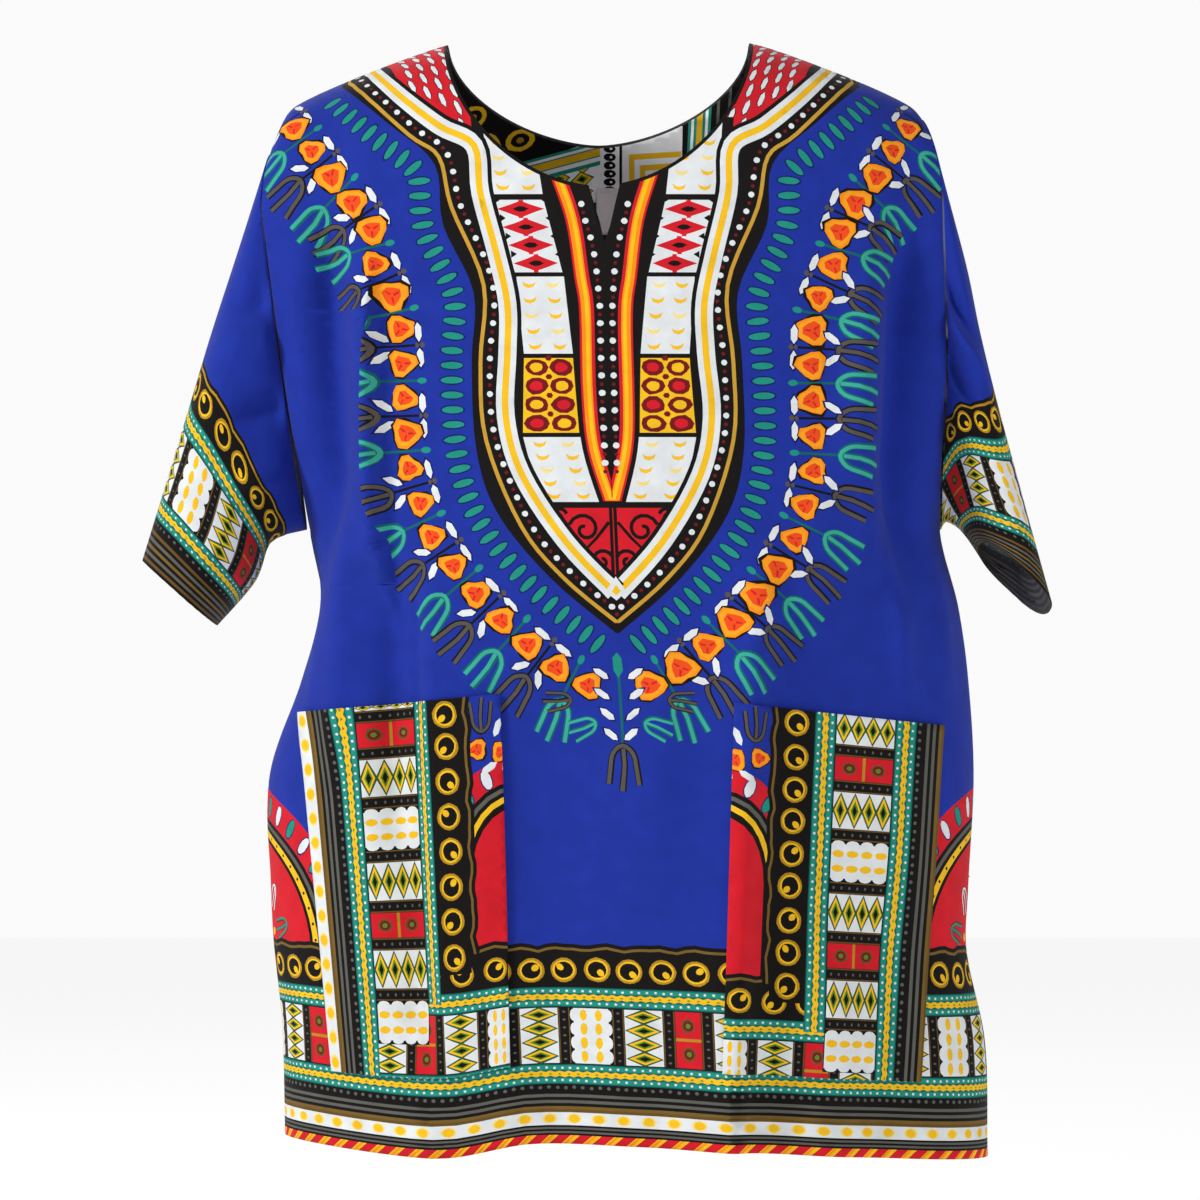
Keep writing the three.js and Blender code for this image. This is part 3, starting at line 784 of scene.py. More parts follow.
def halves(table, wider=0.0):
    """A table of half widths as a smooth line of (half, z), moved outwards by wider."""
    line = fillet(table, 5)
    if not wider:
        return line
    along = np.gradient(line, axis=0)
    along /= np.linalg.norm(along, axis=1)[:, None]
    moved = line + np.stack([-along[:, 1], along[:, 0]], -1) * wider
    moved[:, 0] = np.maximum(moved[:, 0], 0.2)
    return moved


def both(face, table, wider=0.0, below=100.0):
    """The region between a line of half widths and its mirror image, on flat cloth."""
    line = halves(table, wider)
    line = line[line[:, 1] < below]
    right = clip_top(face, np.stack([middle_at(line[:, 1]) + line[:, 0], line[:, 1]], -1))
    left = clip_top(face, np.stack([middle_at(line[:, 1]) - line[:, 0], line[:, 1]], -1))
    ends = [] if below < 100 else [(left[0, 0], 200.0), (right[0, 0], 200.0)]
    return np.concatenate([right, left[::-1], np.array(ends).reshape(-1, 2)])


def clip_top(face, points):
    """Points seen from the front to flat cloth, none of them over the shoulder line."""
    x, z = points.T
    return to_flat(face, np.stack([x, np.minimum(z, shoulder_level(x))], -1))


def side_line(face, table, side, wider=0.0):
    """One side of a line of half widths, on flat cloth."""
    line = halves(table, wider)
    return clip_top(face, np.stack([middle_at(line[:, 1]) + side * line[:, 0], line[:, 1]], -1))


def spot(face, half, z, side=1):
    x = middle_at(z) + side * half
    return to_flat(face, [(x, min(z, float(shoulder_level(x))))])[0]


def block(face, side, z0, z1, in0, out0, in1, out1):
    """A block of the yoke between two levels and the half widths at each."""
    n = 5
    zs = np.linspace(z0, z1, n)
    inner = np.stack([middle_at(zs) + side * np.linspace(in0, in1, n), zs], -1)
    outer = np.stack([middle_at(zs) + side * np.linspace(out0, out1, n), zs], -1)
    return to_flat(face, np.concatenate([inner, outer[::-1]]))


def grid_of(face, side, z0, z1, in0, out0, in1, out1, rows, columns):
    """The middles of a block's cells, with how wide and tall each cell is."""
    for r in range(rows):
        t = (r + 0.5) / rows
        low, high = in0 + (in1 - in0) * t, out0 + (out1 - out0) * t
        for c in range(columns):
            x, y = spot(face, low + (high - low) * (c + 0.5) / columns, z0 + (z1 - z0) * t, side)
            yield x, y, (high - low) / columns, abs(z1 - z0) / rows, r, c


CRESCENT = [(-5, 2), (-2.4, 0.4), (0, 0), (2.4, 0.4), (5, 2), (3.4, -1.6), (0, -2.8), (-3.4, -1.6)]
SPINDLE = [(-1, 0), (-0.45, 0.55), (0, 1), (0.45, 0.55), (1, 0), (0.45, -0.55), (0, -1), (-0.45, -0.55)]


def crescents(art, face, side, *where):
    """Yellow crescents on white, in two columns."""
    art.add(block(face, side, *where), WHITE)
    for x, y, _, _, r, c in grid_of(face, side, *where, 5, 2):
        colour = PALE_YELLOW if (r + c) % 3 == 0 else YELLOW
        art.add(shape(CRESCENT, x + shake(0.5), y, shake(0.1), 0.98, 0.1), colour)


def spindles(art, face, side, *where):
    """Red spindles with black hearts, one above the other."""
    art.add(block(face, side, *where), WHITE)
    for x, y, wide, tall, _, _ in grid_of(face, side, *where, 4, 1):
        for share, colour in ((1.0, RED), (0.36, BLACK)):
            size = (wide * 0.47 * share, tall * 0.46 * share)
            art.add(shape(np.array(SPINDLE) * size, x, y, 0, 1, 0.3), colour)
        half = tall / 2
        art.add(shape([(-1.6, -half), (1.6, -half), (1.6, half), (-1.6, half)], x, y, 0, 1, 0.1), RED)
        art.add(oval(x, y, wide * 0.13, tall * 0.16, 0, 7), BLACK)
        for way, turn in ((-1, math.pi), (1, 0)):
            corner = (x - way * wide * 0.52, y + half)
            art.add(shape([(0, -2.6), (4.2, 0), (0, 2.6)], *corner, turn, 1, 0.2), BLACK)


def chains(art, face, side, *where):
    """Dark red links on gold."""
    art.add(block(face, side, *where), YELLOW)
    for x, y, wide, tall, r, c in grid_of(face, side, *where, 4, 2):
        for share, colour in ((0.46, DARK_RED), (0.26, YELLOW if (r + c) % 2 else RED)):
            art.add(oval(x, y, wide * share, tall * share, 0, 10, 0.08), colour)
        inward = side if c == 0 else -side
        art.add(oval(x + wide * 0.5 * inward, y + tall * 0.5, 2.4, 2.0, 0, 6, 0.1), DARK_RED)


def garland(art, face, side):
    """Pairs of blossoms about dark forks, with a teal fork between one pair and the next."""
    line = side_line(face, GARLAND, side)
    for k, (x, y, turn) in enumerate(walk(line, 24.0)):
        out = turn + side * math.pi / 2
        c, s = math.cos(out), math.sin(out)
        tc, ts = math.cos(turn), math.sin(turn)
        place = lambda away, on: (x + c * away + tc * on, y + s * away + ts * on)
        dark = k % 2 == 0
        colour, edge = (SOOT, BLACK) if dark else (LIGHT_TEAL, DARK_TEAL)
        art.add(stroke([place(-9, 0), place(21, 0)], 1.7), edge)
        art.fork(*place(21, 0), out - side * 0.12 + shake(0.08), 0.94, colour, edge)
        art.add(oval(*place(-11, 0), 3.6, 2.2, out), SOOT if dark else TEAL)
        if dark:
            for on in (-9, 9):
                art.leaf(*place(-10.5, on), out + math.pi / 2, 0.98, 0.76)
            for on, angle in ((-7.5, -0.6), (7.5, 0.6)):
                art.leaf(*place(17, on), out + angle, 0.98, 0.76)
        art.flower(*place(2.5, 12), 10.0, out + (-1.2 if dark else 1.2) * side)


def yoke_edge(art, face):
    """The garland, the teal dashes and the black and gold edge of the yoke."""
    for side in (1, -1):
        garland(art, face, side)
        for x, y, turn in walk(side_line(face, OUTER_EDGE, side, 14.0), 10.3):
            out = turn + side * math.pi / 2
            art.add(oval(x, y, 9.0, 3.5, out, 12, 0.03), NAVY)
            art.add(oval(x, y, 7.9, 2.5, out, 12, 0.05), TEAL)
    art.add(both(face, OUTER_EDGE), BLACK)
    art.add(both(face, GOLD_EDGE, 1.2), OLD_GOLD)
    art.add(both(face, GOLD_EDGE, -1.5), BLACK)


def shoulder_zone(art, face, side):
    """Red with slanted white lenses."""
    zone = [(84, 60), (84, -66), (92, -72), (116, -54), (142, -34), (158, -16), (165, 60)]
    half, z = np.array(zone, float).T
    flat = clip_top(face, np.stack([middle_at(z) + side * half, z], -1))
    flat[0, 1] = flat[-1, 1] = 200
    art.add(flat, RED)
    field = Art((0, 0, 0))
    field.add(flat, (1, 0, 0))
    x, y = spot(face, 87, -70, side)
    places = [(x + side * (k * 11.2 + row * 3.4), y + k * 6.4 + row * 13.5)
              for row in range(14) for k in range(-4, 9)]
    inside = field.paint(np.array([(x + side * 4, y) for x, y in places]))[:, 0] > 0
    thin = np.array(LEAF) * (1.0, 0.72)
    for (x, y), shown in zip(places, inside):
        if shown:
            art.add(shape(thin * (1.12, 1.3), x, y, side * 1.12, 0.74, 0.2), BLACK)
            art.add(shape(thin, x, y, side * 1.12, 0.72, 0.2), WHITE)


def yoke_blocks(art, face, side):
    """The blocks down one side: level, then inner and outer half widths, at top and bottom."""
    art.add(block(face, side, -58, -335, 44, 92, 4, 66), BLACK)
    crescents(art, face, side, -60, -112, 50, 84, 43, 79)
    spindles(art, face, side, -116, -167, 42.5, 78, 30, 63)
    crescents(art, face, side, -170, -224, 29, 62, 23.5, 57.5)
    chains(art, face, side, -227, -279, 23.5, 57.5, 21, 60)
    crescents(art, face, side, -282, -327, 20, 60, 8, 50)


def yoke_point(art, face):
    """Generic curls on red, in the point of the yoke."""
    art.add(both(face, BAND, -9.0, -330), RED)
    for side in (1, -1):
        for half, z, size, way in ((20, -346, 11.5, 1), (9, -368, 8.5, -1), (38, -337, 6.5, -1)):
            a = np.linspace(0.3, 8.0, 18)
            r = size * (1 - a / 9.4)
            x, y = spot(face, half, z, side)
            art.add(stroke(np.stack([x + side * way * np.cos(a) * r, y + np.sin(a) * r], -1), 2.6), BLACK)
        middle = [(1.5, z) for z in (-330, -345, -358, -384)]
        loop = [(48, -332), (34, -352), (22, -362), (12, -352), (3, -341)]
        for line, wide in ((middle, 2.4), (loop, 2.2)):
            art.add(stroke([spot(face, half, z, side) for half, z in line], wide), BLACK)


def yoke_bands(art, face):
    """The V below the slit, the white band round the blocks, and the rows of dots."""
    v_bands = ((8.6, BLACK), (5.4, RED), (3.9, ORANGE), (1.2, YELLOW), (-1.4, ORANGE), (-2.6, RED),
               (-4.9, BLACK))
    for wider, colour in v_bands:
        art.add(both(face, V_LINE, wider), colour)
    for side in (1, -1):
        line = side_line(face, BAND, side)
        for wide, colour in ((18.5, BLACK), (12.6, WHITE), (4.6, YELLOW)):
            art.add(stroke(line, wide), colour)
    tip = np.array([(0, -399), (9, -391), (0, -378), (-9, -391)], float)
    for grow, colour in ((0.8, WHITE), (0.36, YELLOW)):
        x, z = ((tip - (0, -391)) * grow + (0, -389)).T
        art.add(to_flat(face, np.stack([middle_at(z) + x, z], -1)), colour)
    for side in (1, -1):
        for table, wider, size, pitch in ((GOLD_EDGE, -6.6, 2.2, 12.2), (DOT_LINE, 0.0, 2.3, 11.6)):
            line = side_line(face, table, side, wider)
            for x, y, turn in walk(line, pitch):
                art.add(oval(x, y, size, size * 0.95), WHITE)
            for x, y, turn in walk(line, pitch, 1.0):
                art.add(oval(x, y, 1.4, 1.4, 0, 6), DARK_RED)


def leaf_spray(art, face):
    """The spray under the point of the yoke."""
    x, y = spot(face, 0.0, -448)
    art.add(stroke([(x, y + 10), (x + 1, y - 50)], 1.8), DARK_TEAL)
    for side in (1, -1):
        lean = lambda turn: turn if side > 0 else math.pi - turn
        art.fork(x + side * 34, y - 16, lean(-0.1), 0.6, SOOT, BLACK)
        art.fork(x + side * 17, y - 32, lean(-0.4), 0.62, LIGHT_TEAL, DARK_TEAL)
        for away, down, turn in ((12, 2, 0.6), (12, -12, 0.6), (9, -26, 0.7), (7, -40, 0.7)):
            art.leaf(x + side * away, y + down, lean(turn), 0.9, 0.7)
    art.add(shape(LEAF, x, y + 8, -math.pi / 2, 1.0, 0.4), TEAL)
    art.fork(x + 1, y - 48, -math.pi / 2, 0.95, SOOT, BLACK)


def side_round(art, face, side):
    """The half-round field at each side seam, above the border."""
    panel = panels[face]
    y = HEM_Z + 138
    x = float(np.interp(y, panel.levels, panel.round[:, 0 if side < 0 else -1]))
    a = np.linspace(0, math.pi, 25)
    bands = ((112, RED), (92, BLACK), (89, GREY), (86, BLACK), (83, YELLOW), (78, BLACK), (75, RED))
    for radius, colour in bands:
        art.add(np.stack([x + np.cos(a) * radius, y + np.sin(a) * radius], -1), colour)
    for px, py, turn, k in around(x, y, 102, 18):
        art.lens(px, py, (8.6, 4.4), (7.6, 3.4), turn, TEAL if k % 2 else WHITE)
    for px, py, turn, k in around(x, y, 80.5, 22):
        art.add(oval(px, py, 1.2, 1.2, 0, 6), BLACK)
    for px, py, turn, k in around(x, y, 52, 5):
        art.fork(px, py, turn + math.pi, 0.6, WHITE if k % 2 else TEAL, DARK_RED)
    for px, py, turn, k in around(x, y, 24, 4):
        art.add(oval(px, py, 4, 3, turn), YELLOW)


def body_art(face):
    art = Art(BLUE)
    panel = panels[face]
    yoke_edge(art, face)
    for side in (1, -1):
        shoulder_zone(art, face, side)
        yoke_blocks(art, face, side)
    yoke_point(art, face)
    yoke_bands(art, face)
    leaf_spray(art, face)
    for side in (1, -1):
        side_round(art, face, side)
    border(art, panel.round[0, 0] - 4, panel.round[0, -1] + 4, HEM_Z)
    if face == "front":
        # The sleeve side folds over the garland here and hides the ends of its forks.
        under = [(-161, -192), (-165, -215), (-166, -253), (-165, -300), (-162, -330), (-151, -354),
                 (-148, -384), (-200, -384), (-214, -192)]
        art.add(to_flat(face, np.array(under, float)), BLUE)
    ring = neck_hole(face)
    art.add(stroke(np.concatenate([ring, ring[:1]]), 5.0), BLACK)
    return art


SLEEVE_SKEW = {-1: (0.53, 1.05), 1: (0.42, 1.2)}  # how deep the border is: underarm, top


def sleeve_art(sleeve):
    art = Art(BLUE)
    x0, x1 = -2.0, sleeve.ROUND + 2
    band_rings(art, x0, x1, 121, 150)
    band_wave(art, x0, x1, 148, GOLD, 2.1)
    band_braid(art, x0, x1, 103, 121)
    band_ladder(art, x0, x1, 50, 103, 2)
    band_braid(art, x0, x1, 34, 50)
    band_plain(art, x0, x1, 28, 34, BLACK)
    band_dots(art, x0, x1, 31, 6.5, 1.3, GREY)
    stripes = [BLACK, BROWN, BLACK, GREY, BLACK, DARK_GOLD, BLACK, GREY, BLACK, BROWN, BLACK]
    band_stripes(art, x0, x1, 0, 28, stripes)
    # The border runs askew: deep over the top of the arm, shallow at the underarm.
    low, high = SLEEVE_SKEW[sleeve.side]
    for i, (points, colour) in enumerate(art.shapes):
        points = cut_long(points, 12.0)
        share = 1 - np.abs(points[:, 0] / sleeve.ROUND * 2 - 1)
        art.shapes[i] = (np.stack([points[:, 0], points[:, 1] * (low + (high - low) * share)], -1), colour)
    return art


POCKET_WIDE, POCKET_TALL = 152.0, 259.0


def pocket_art(mirrored, corner):
    """The corner of the border: one arm up the outer edge, the other along the bottom. corner
    is how high the bottom arm reaches."""
    art = Art(BLUE)
    field = 122.0
    middle = field + 38
    for radius, colour in ((66, RED), (50, BLACK), (47, GREY), (44, BLACK), (41, YELLOW), (37, BLACK)):
        art.add(bar(middle - radius, corner, middle + radius, 190 - 56), colour)
        art.add(oval(middle, 134, radius, radius + 14, 0, 28, 0), colour)
    art.add(oval(middle, 134, 34, 46, 0, 24, 0), RED)
    art.add(bar(middle - 34, corner, middle + 34, 134), RED)
    for k in range(6):
        turn = math.pi / 2 + (k + 0.2) * 0.3
        px, py = middle + math.cos(turn) * 58, 134 + math.sin(turn) * 71
        art.lens(px, py, (8.0, 4.6), (7.0, 3.6), turn, WHITE if k % 2 else TEAL)
    art.fork(field + 15, 234, math.pi / 2, 0.72, SOOT, BLACK)
    art.flower(field + 11, 222, 7.5, 1.0)
    art.flower(field + 29, 219, 7.0, 2.0)
    for px, py, turn in ((field + 27, 236, 1.2), (field + 20, 209, 0.5), (field + 33, 205, 2.0)):
        art.add(shape(LEAF, px, py, turn, 0.75, 0.3), WHITE)
    border(art, 0.0, POCKET_WIDE + 2, corner - 138)
    upright = Art(BLACK)
    base, squeeze = (-24.0, 1.05) if mirrored else (-13.0, 1.0)
    border(upright, -2.0, POCKET_TALL + 2, base, squeeze, lambda depth: depth + corner - 138)
    art.shapes += [(points[:, ::-1][::-1], colour) for points, colour in upright.shapes]
    if mirrored:
        art.shapes = [((p * (-1, 1) + (POCKET_WIDE, 0))[::-1], colour) for p, colour in art.shapes]
    return art


def facing_art():
    """A scrap of the border print, cut askew."""
    art = Art(BLACK)
    place = lambda points: to_flat("back", np.array(points, float))
    for k, at in enumerate(((-96, -44), (-84, -66), (-64, -84), (-62, -60))):
        u, v = place([at])[0]
        for wide, tall, n, colour in ((1, 1, 14, YELLOW), (0.66, 0.62, 12, BLACK), (0.28, 0.28, 8, GOLD)):
            art.add(oval(u, v, 11 * wide, 8 * tall, 0.5 + k, n), colour)
    # The facing's whites are painted light: brighter than the print's own white, where the facing lies in
    # shade inside the neck.
    # White cloth with a yellow and green lattice, under a slanting braid.
    art.add(place([(-50, -120), (0, -120), (0, -58), (-50, -74)]), PAINTED_LIGHT_WHITE)
    for k in range(5):
        for column in (-34, -17):
            u, v = place([(column, -78 - 10 * k)])[0]
            for share, colour in ((1.0, DARK_GREEN), (0.84, YELLOW), (0.5, GREEN), (0.3, BLACK)):
                art.add(shape(diamond(9 * share, 6 * share), u, v, 0.2, 1, 0.3), colour)
    for low, high, colour in ((0, 17, TEAL), (3, 6, PAINTED_LIGHT_WHITE), (7, 12, YELLOW), (13, 15, PAINTED_LIGHT_WHITE)):
        braid = [(-62, -93 + low), (-2, -77 + low), (-2, -77 + high), (-62, -93 + high)]
        art.add(place(braid), colour)
    # A column of black beads, nested yellow corners, and an upright braid.
    art.add(place([(-4, -120), (10, -120), (10, -50), (-4, -50)]), PAINTED_LIGHT_WHITE)
    for k in range(8):
        u, v = place([(3, -66 - 6 * k)])[0]
        art.add(oval(u, v, 4.6, 3.0), BLACK)
        art.add(oval(u + 1, v, 1.2, 0.9, 0, 6), PAINTED_LIGHT_WHITE)
    art.add(place([(12, -120), (54, -120), (56, -50), (12, -50)]), PAINTED_LIGHT_WHITE)
    for k in range(3):
        x, z = 17 + 8 * k, -70 - 8 * k
        corner = [(x, -120), (x + 4, -120), (x + 4, z - 4), (55, z - 2), (55, z + 2), (x, z)]
        art.add(place(corner), YELLOW)
    for low, high, colour in ((56, 72, TEAL), (58, 60, PAINTED_LIGHT_WHITE), (62, 66, YELLOW), (68, 70, PAINTED_LIGHT_WHITE),
                              (76, 78, GREY), (84, 86, GREY)):
        art.add(place([(low, -120), (high, -120), (high + 6, -10), (low + 6, -10)]), colour)
    return art


# ---- Cloth meshes -----------------------------------------------------------------------
def triangulate(outline, art, step, holes=(), more=(), longest=16.0):
    """Flat cloth as triangles, with the ink that each one shows."""
    points, edges = [], []
    for p in [outline, *holes, *(s[0] for s in art.shapes)]:
        p = cut_long(p, longest)
        first, count = len(points), len(p)
        edges.extend((first + i, first + (i + 1) % count) for i in range(count))
        points.extend(Vector((float(x), float(y))) for x, y in p)
    points.extend(Vector((float(x), float(y))) for x, y in more)
    low, high = outline.min(0), outline.max(0)
    for i, y in enumerate(np.arange(low[1] + step * 0.6, high[1], step * 0.87)):
        for x in np.arange(low[0] + step * (0.5 + 0.5 * (i % 2)), high[0], step):
            points.append(Vector((x, y)))
    verts, _, tris, _, _, _ = delaunay_2d_cdt(points, edges, [], 0, 1e-4, False)
    flat, tris = np.array([tuple(v) for v in verts]), np.array(tris)
    middles = flat[tris].mean(1)
    cut = Art((1.0, 0, 0))
    cut.shapes = [(outline, (0, 0, 0))] + [(hole[::-1], (1.0, 0, 0)) for hole in holes]
    tris = tris[cut.paint(middles)[:, 0] == 0]
    used = np.unique(tris)
    renumber = np.zeros(len(flat), int)
    renumber[used] = np.arange(len(used))
    return flat[used], renumber[tris], art.paint(flat[tris].mean(1))


def shell(name, flat, tris, colours, outside, thick, materials):
    """A closed thin wall: the outer sheet, an inner one and the rim between them.
    outside is the outer sheet's points in millimetres, with its triangles facing out."""
    a, b, c = (outside[tris[:, k]] for k in range(3))
    face_normal = np.cross(b - a, c - a)
    normal = np.zeros_like(outside)
    for k in range(3):
        np.add.at(normal, tris[:, k], face_normal)
    normal /= np.linalg.norm(normal, axis=1)[:, None] + 1e-12
    inside = outside - normal * thick
    n = len(outside)
    edges = np.concatenate([tris[:, [0, 1]], tris[:, [1, 2]], tris[:, [2, 0]]])
    owner = np.tile(np.arange(len(tris)), 3)
    code = edges.min(1) * n + edges.max(1)
    _, index, count = np.unique(code, return_index=True, return_counts=True)
    rim = edges[index[count == 1]]
    rim_owner = owner[index[count == 1]]
    faces = [*tris.tolist(), *(tris[:, ::-1] + n).tolist()]
    faces += [[q, p, p + n, q + n] for p, q in rim.tolist()]
    mesh = bpy.data.meshes.new(name)
    mesh.from_pydata((np.concatenate([outside, inside]) * MM).tolist(), [], faces)
    for m in materials:
        mesh.materials.append(m)
    count = len(tris)
    slots = np.zeros(len(faces), int)
    slots[count:2 * count] = len(materials) - 1
    mesh.polygons.foreach_set("material_index", slots)
    smooth_faces = np.concatenate([np.ones(2 * count, bool), np.zeros(len(rim), bool)])
    mesh.polygons.foreach_set("use_smooth", smooth_faces)
    walls = np.repeat(colours, 3, axis=0)
    paint = np.concatenate([walls, walls, np.repeat(colours[rim_owner], 4, axis=0)])
    layer = mesh.color_attributes.new("Ink", "FLOAT_COLOR", "CORNER")
    layer.data.foreach_set("color", np.concatenate([paint, np.ones((len(paint), 1))], axis=1).ravel())
    uv = mesh.uv_layers.new(name="Cloth")
    size = flat.max(0) - flat.min(0)
    lay = (flat - flat.min(0)) / size.max()
    both_sides = np.concatenate([lay, lay])
    loops = np.array([i for face in faces for i in face])
    uv.data.foreach_set("uv", both_sides[loops].ravel())
    flat_at = mesh.attributes.new("Flat", "FLOAT_VECTOR", "POINT")
    three = np.concatenate([flat, np.zeros((n, 1))], axis=1) * MM
    flat_at.data.foreach_set("vector", np.concatenate([three, three]).ravel())
    mesh.update()
    obj = bpy.data.objects.new(name, mesh)
    bpy.context.scene.collection.objects.link(obj)
    return obj


# ---- Materials --------------------------------------------------------------------------
def cotton(name, fade, sheen=0.05):
    """Printed cotton. fade is how much paler and greyer it is, for the wrong side."""
    material = bpy.data.materials.new(name)
    material.use_nodes = True
    nodes, join = material.node_tree.nodes, material.node_tree.links.new
    shader = nodes["Principled BSDF"]
    finish = {"Roughness": 0.9, "Specular IOR Level": 0.14, "Sheen Weight": sheen, "Sheen Roughness": 0.5}
    for key, value in finish.items():
        shader.inputs[key].default_value = value

    def add(kind, **values):
        """A new node. An underscore in the name of a value stands for a space."""
        node = nodes.new("ShaderNode" + kind)
        for key, value in values.items():
            node.inputs[key.replace("_", " ")].default_value = value
        return node

    ink_node, flat_node = add("Attribute"), add("Attribute")
    ink_node.attribute_name, flat_node.attribute_name = "Ink", "Flat"
    on_cloth = flat_node.outputs["Vector"]
    # The print's ink, a little uneven from washing.
    worn = add("TexNoise", Scale=60.0, Detail=5.0)
    join(on_cloth, worn.inputs["Vector"])
    ramp = add("MapRange", From_Min=0.3, From_Max=0.7, To_Min=0.9, To_Max=1.06)
    join(worn.outputs["Fac"], ramp.inputs["Value"])
    tone = add("HueSaturation", Saturation=1.0 - 0.5 * fade)
    join(ink_node.outputs["Color"], tone.inputs["Color"])
    join(ramp.outputs["Result"], tone.inputs["Value"])
    colour = tone.outputs["Color"]
    if fade:
        pale = nodes.new("ShaderNodeMix")
        pale.data_type = "RGBA"
        pale.inputs["Factor"].default_value = 0.25 * fade
        pale.inputs["B"].default_value = (0.22, 0.22, 0.25, 1)
        join(colour, pale.inputs["A"])
        colour = pale.outputs["Result"]
    join(colour, shader.inputs["Base Color"])
    # The plain weave, too fine to see except as a grain, and the crinkle of washed cotton.
    grain = nodes.new("ShaderNodeMath")
    grain.operation = "MULTIPLY"
    for way, value in zip("XY", grain.inputs):
        thread = add("TexWave", Scale=620.0, Distortion=0.6)
        thread.bands_direction = way
        join(on_cloth, thread.inputs["Vector"])
        join(thread.outputs["Fac"], value)
    crinkle = add("TexNoise", Scale=28.0, Detail=3.0)
    join(on_cloth, crinkle.inputs["Vector"])
    fine = add("Bump", Strength=0.25, Distance=0.0003)
    join(grain.outputs["Value"], fine.inputs["Height"])
    coarse = add("Bump", Strength=0.35, Distance=0.004)
    join(crinkle.outputs["Fac"], coarse.inputs["Height"])
    join(fine.outputs["Normal"], coarse.inputs["Normal"])
    join(coarse.outputs["Normal"], shader.inputs["Normal"])
    return material


printed = cotton("printed cotton", 0.0)
wrong_side = cotton("printed cotton, wrong side", 1.0)


def neck_hole(face):
    """The outline cut out for the neck, on flat cloth, with the slit in the front."""
    drop, power = NECK[face]
    level = lambda x: -drop * float(quarter(abs(x - NECK_MIDDLE) / NECK_HALF, power))
    along = -np.cos(np.linspace(0, math.pi, 61))
    line = [(NECK_MIDDLE + NECK_HALF * a, -drop * float(quarter(abs(a), power))) for a in along]
    if face == "front":
        left, right = SLIT_X - SLIT_HALF, SLIT_X + SLIT_HALF
        slit = [(left, level(left)), (SLIT_X - 3, SLIT_BOTTOM + 14), (SLIT_X, SLIT_BOTTOM),
                (SLIT_X + 4, SLIT_BOTTOM + 12), (right, level(right))]
        line = [p for p in line if p[0] < left] + slit + [p for p in line if p[0] > right]
    flat = clip_top(face, np.array(line))
    top = [(flat[-1, 0] + 0.5, 120.0), (flat[0, 0] - 0.5, 120.0)]
    return np.concatenate([flat, top])


def cloth(name, sheet, points, thick=CLOTH):
    return shell(name + "_cloth", *sheet, points, thick, [printed, wrong_side])


def body_piece(face):
    panel = panels[face]
    art = body_art(face)
    # Finer points where a fold is steep.
    steep = [row for row in (FRONT_CREASES if face == "front" else BACK_CREASES) if min(row[6], row[7]) < 10]
    more = []
    for top, bottom, a, b, c, *_ in steep:
        low = max(bottom, HEM_Z + 18)
        for t in np.linspace(0.02, 0.98, int((top - low) / 7)):
            across = crest_at(a, b, c, t)
            more += [(across + off, top + (low - top) * t) for off in (-7.5, -5, -2.5, 0, 2.5, 5, 7.5)]
    more = to_flat(face, np.array(more, float))
    flat, tris, colours = triangulate(panel.edge(), art, 6.0, [neck_hole(face)], more)
    points = panel.point(flat[:, 0], flat[:, 1])
    if face == "back":
        tris = tris[:, ::-1]
    # The two meet at the shoulder seam, and neither crosses it.
    points[:, 1] = np.minimum(points[:, 1], -0.1) if face == "front" else np.maximum(points[:, 1], 0.1)
    return cloth(face, (flat, tris, colours), points)


def sleeve_piece(name, side, rings):
    sleeve = Sleeve(side, rings)
    flat, tris, colours = triangulate(sleeve.edge(), sleeve_art(sleeve), 5.0)
    if side < 0:
        tris = tris[:, ::-1]
    return cloth(name, (flat, tris, colours), sleeve.point(flat[:, 0], flat[:, 1]))


def pocket_piece(name, corners):
    """A patch on the front, just proud of it."""
    tl, tr, br, bl = (np.array(c, float) for c in corners)
    art = pocket_art(name == "pocket_right", 84.0 if name == "pocket_left" else 66.0)
    sheet = triangulate(bar(0, 0, POCKET_WIDE, POCKET_TALL, 12), art, 6.0, longest=9.0)
    s, t = sheet[0][:, :1] / POCKET_WIDE, sheet[0][:, 1:] / POCKET_TALL
    seen = (bl * (1 - s) + br * s) * (1 - t) + (tl * (1 - s) + tr * s) * t
    return cloth(name, sheet, panels["front"].point(*to_flat("front", seen).T, 2 * CLOTH + 0.7))


def facing_piece():
    """The strip whose right side shows inside the back of the neck."""
    along = np.linspace(0.02, 0.98, 41) * math.pi
    rows = []
    for wider in (0.8, FACING_WIDTH):
        drop, power = NECK["back"]
        x = NECK_MIDDLE - (NECK_HALF + wider) * np.cos(along)
        z = -(drop + wider) * quarter(np.abs(np.cos(along)), power)
        rows.append(to_flat("back", np.stack([x, np.minimum(z, -5 - wider * 0.05)], -1)))
    sheet = triangulate(np.concatenate([rows[0][::-1], rows[1]]), facing_art(), 5.0)
    points = panels["back"].point(*sheet[0].T, -2.1 * CLOTH)
    points[:, 2] -= 1.5
    return cloth("neck_facing", sheet, points, CLOTH * 0.8)


def label_piece():
    """A blank strip of tape that hangs from the facing, and curls a little."""
    tape = Art(TAPE)
    # A painted shade band across the top of the tape, at its fold.
    tape.add(bar(0, LABEL_TALL - 4, LABEL_WIDE, LABEL_TALL), TAPE_FOLD_PAINTED_SHADE)
    sheet = triangulate(bar(0, 0, LABEL_WIDE, LABEL_TALL, 4), tape, 4.0)
    u, v = sheet[0].T
    x, y, z = panels["back"].point(*to_flat("back", [(2.0, -100.0)]).T)[0]
    curl = y - 5.5 - 0.004 * (LABEL_TALL - v) ** 2 - 0.01 * (u - 8) ** 2
    points = np.stack([x - LABEL_WIDE / 2 + u, curl, z - LABEL_TALL + v + 4], -1)
    woven = cotton("woven tape", 0.0, 0.3)
    return shell("neck_label_tape", *sheet, points, 0.6, [woven, woven])


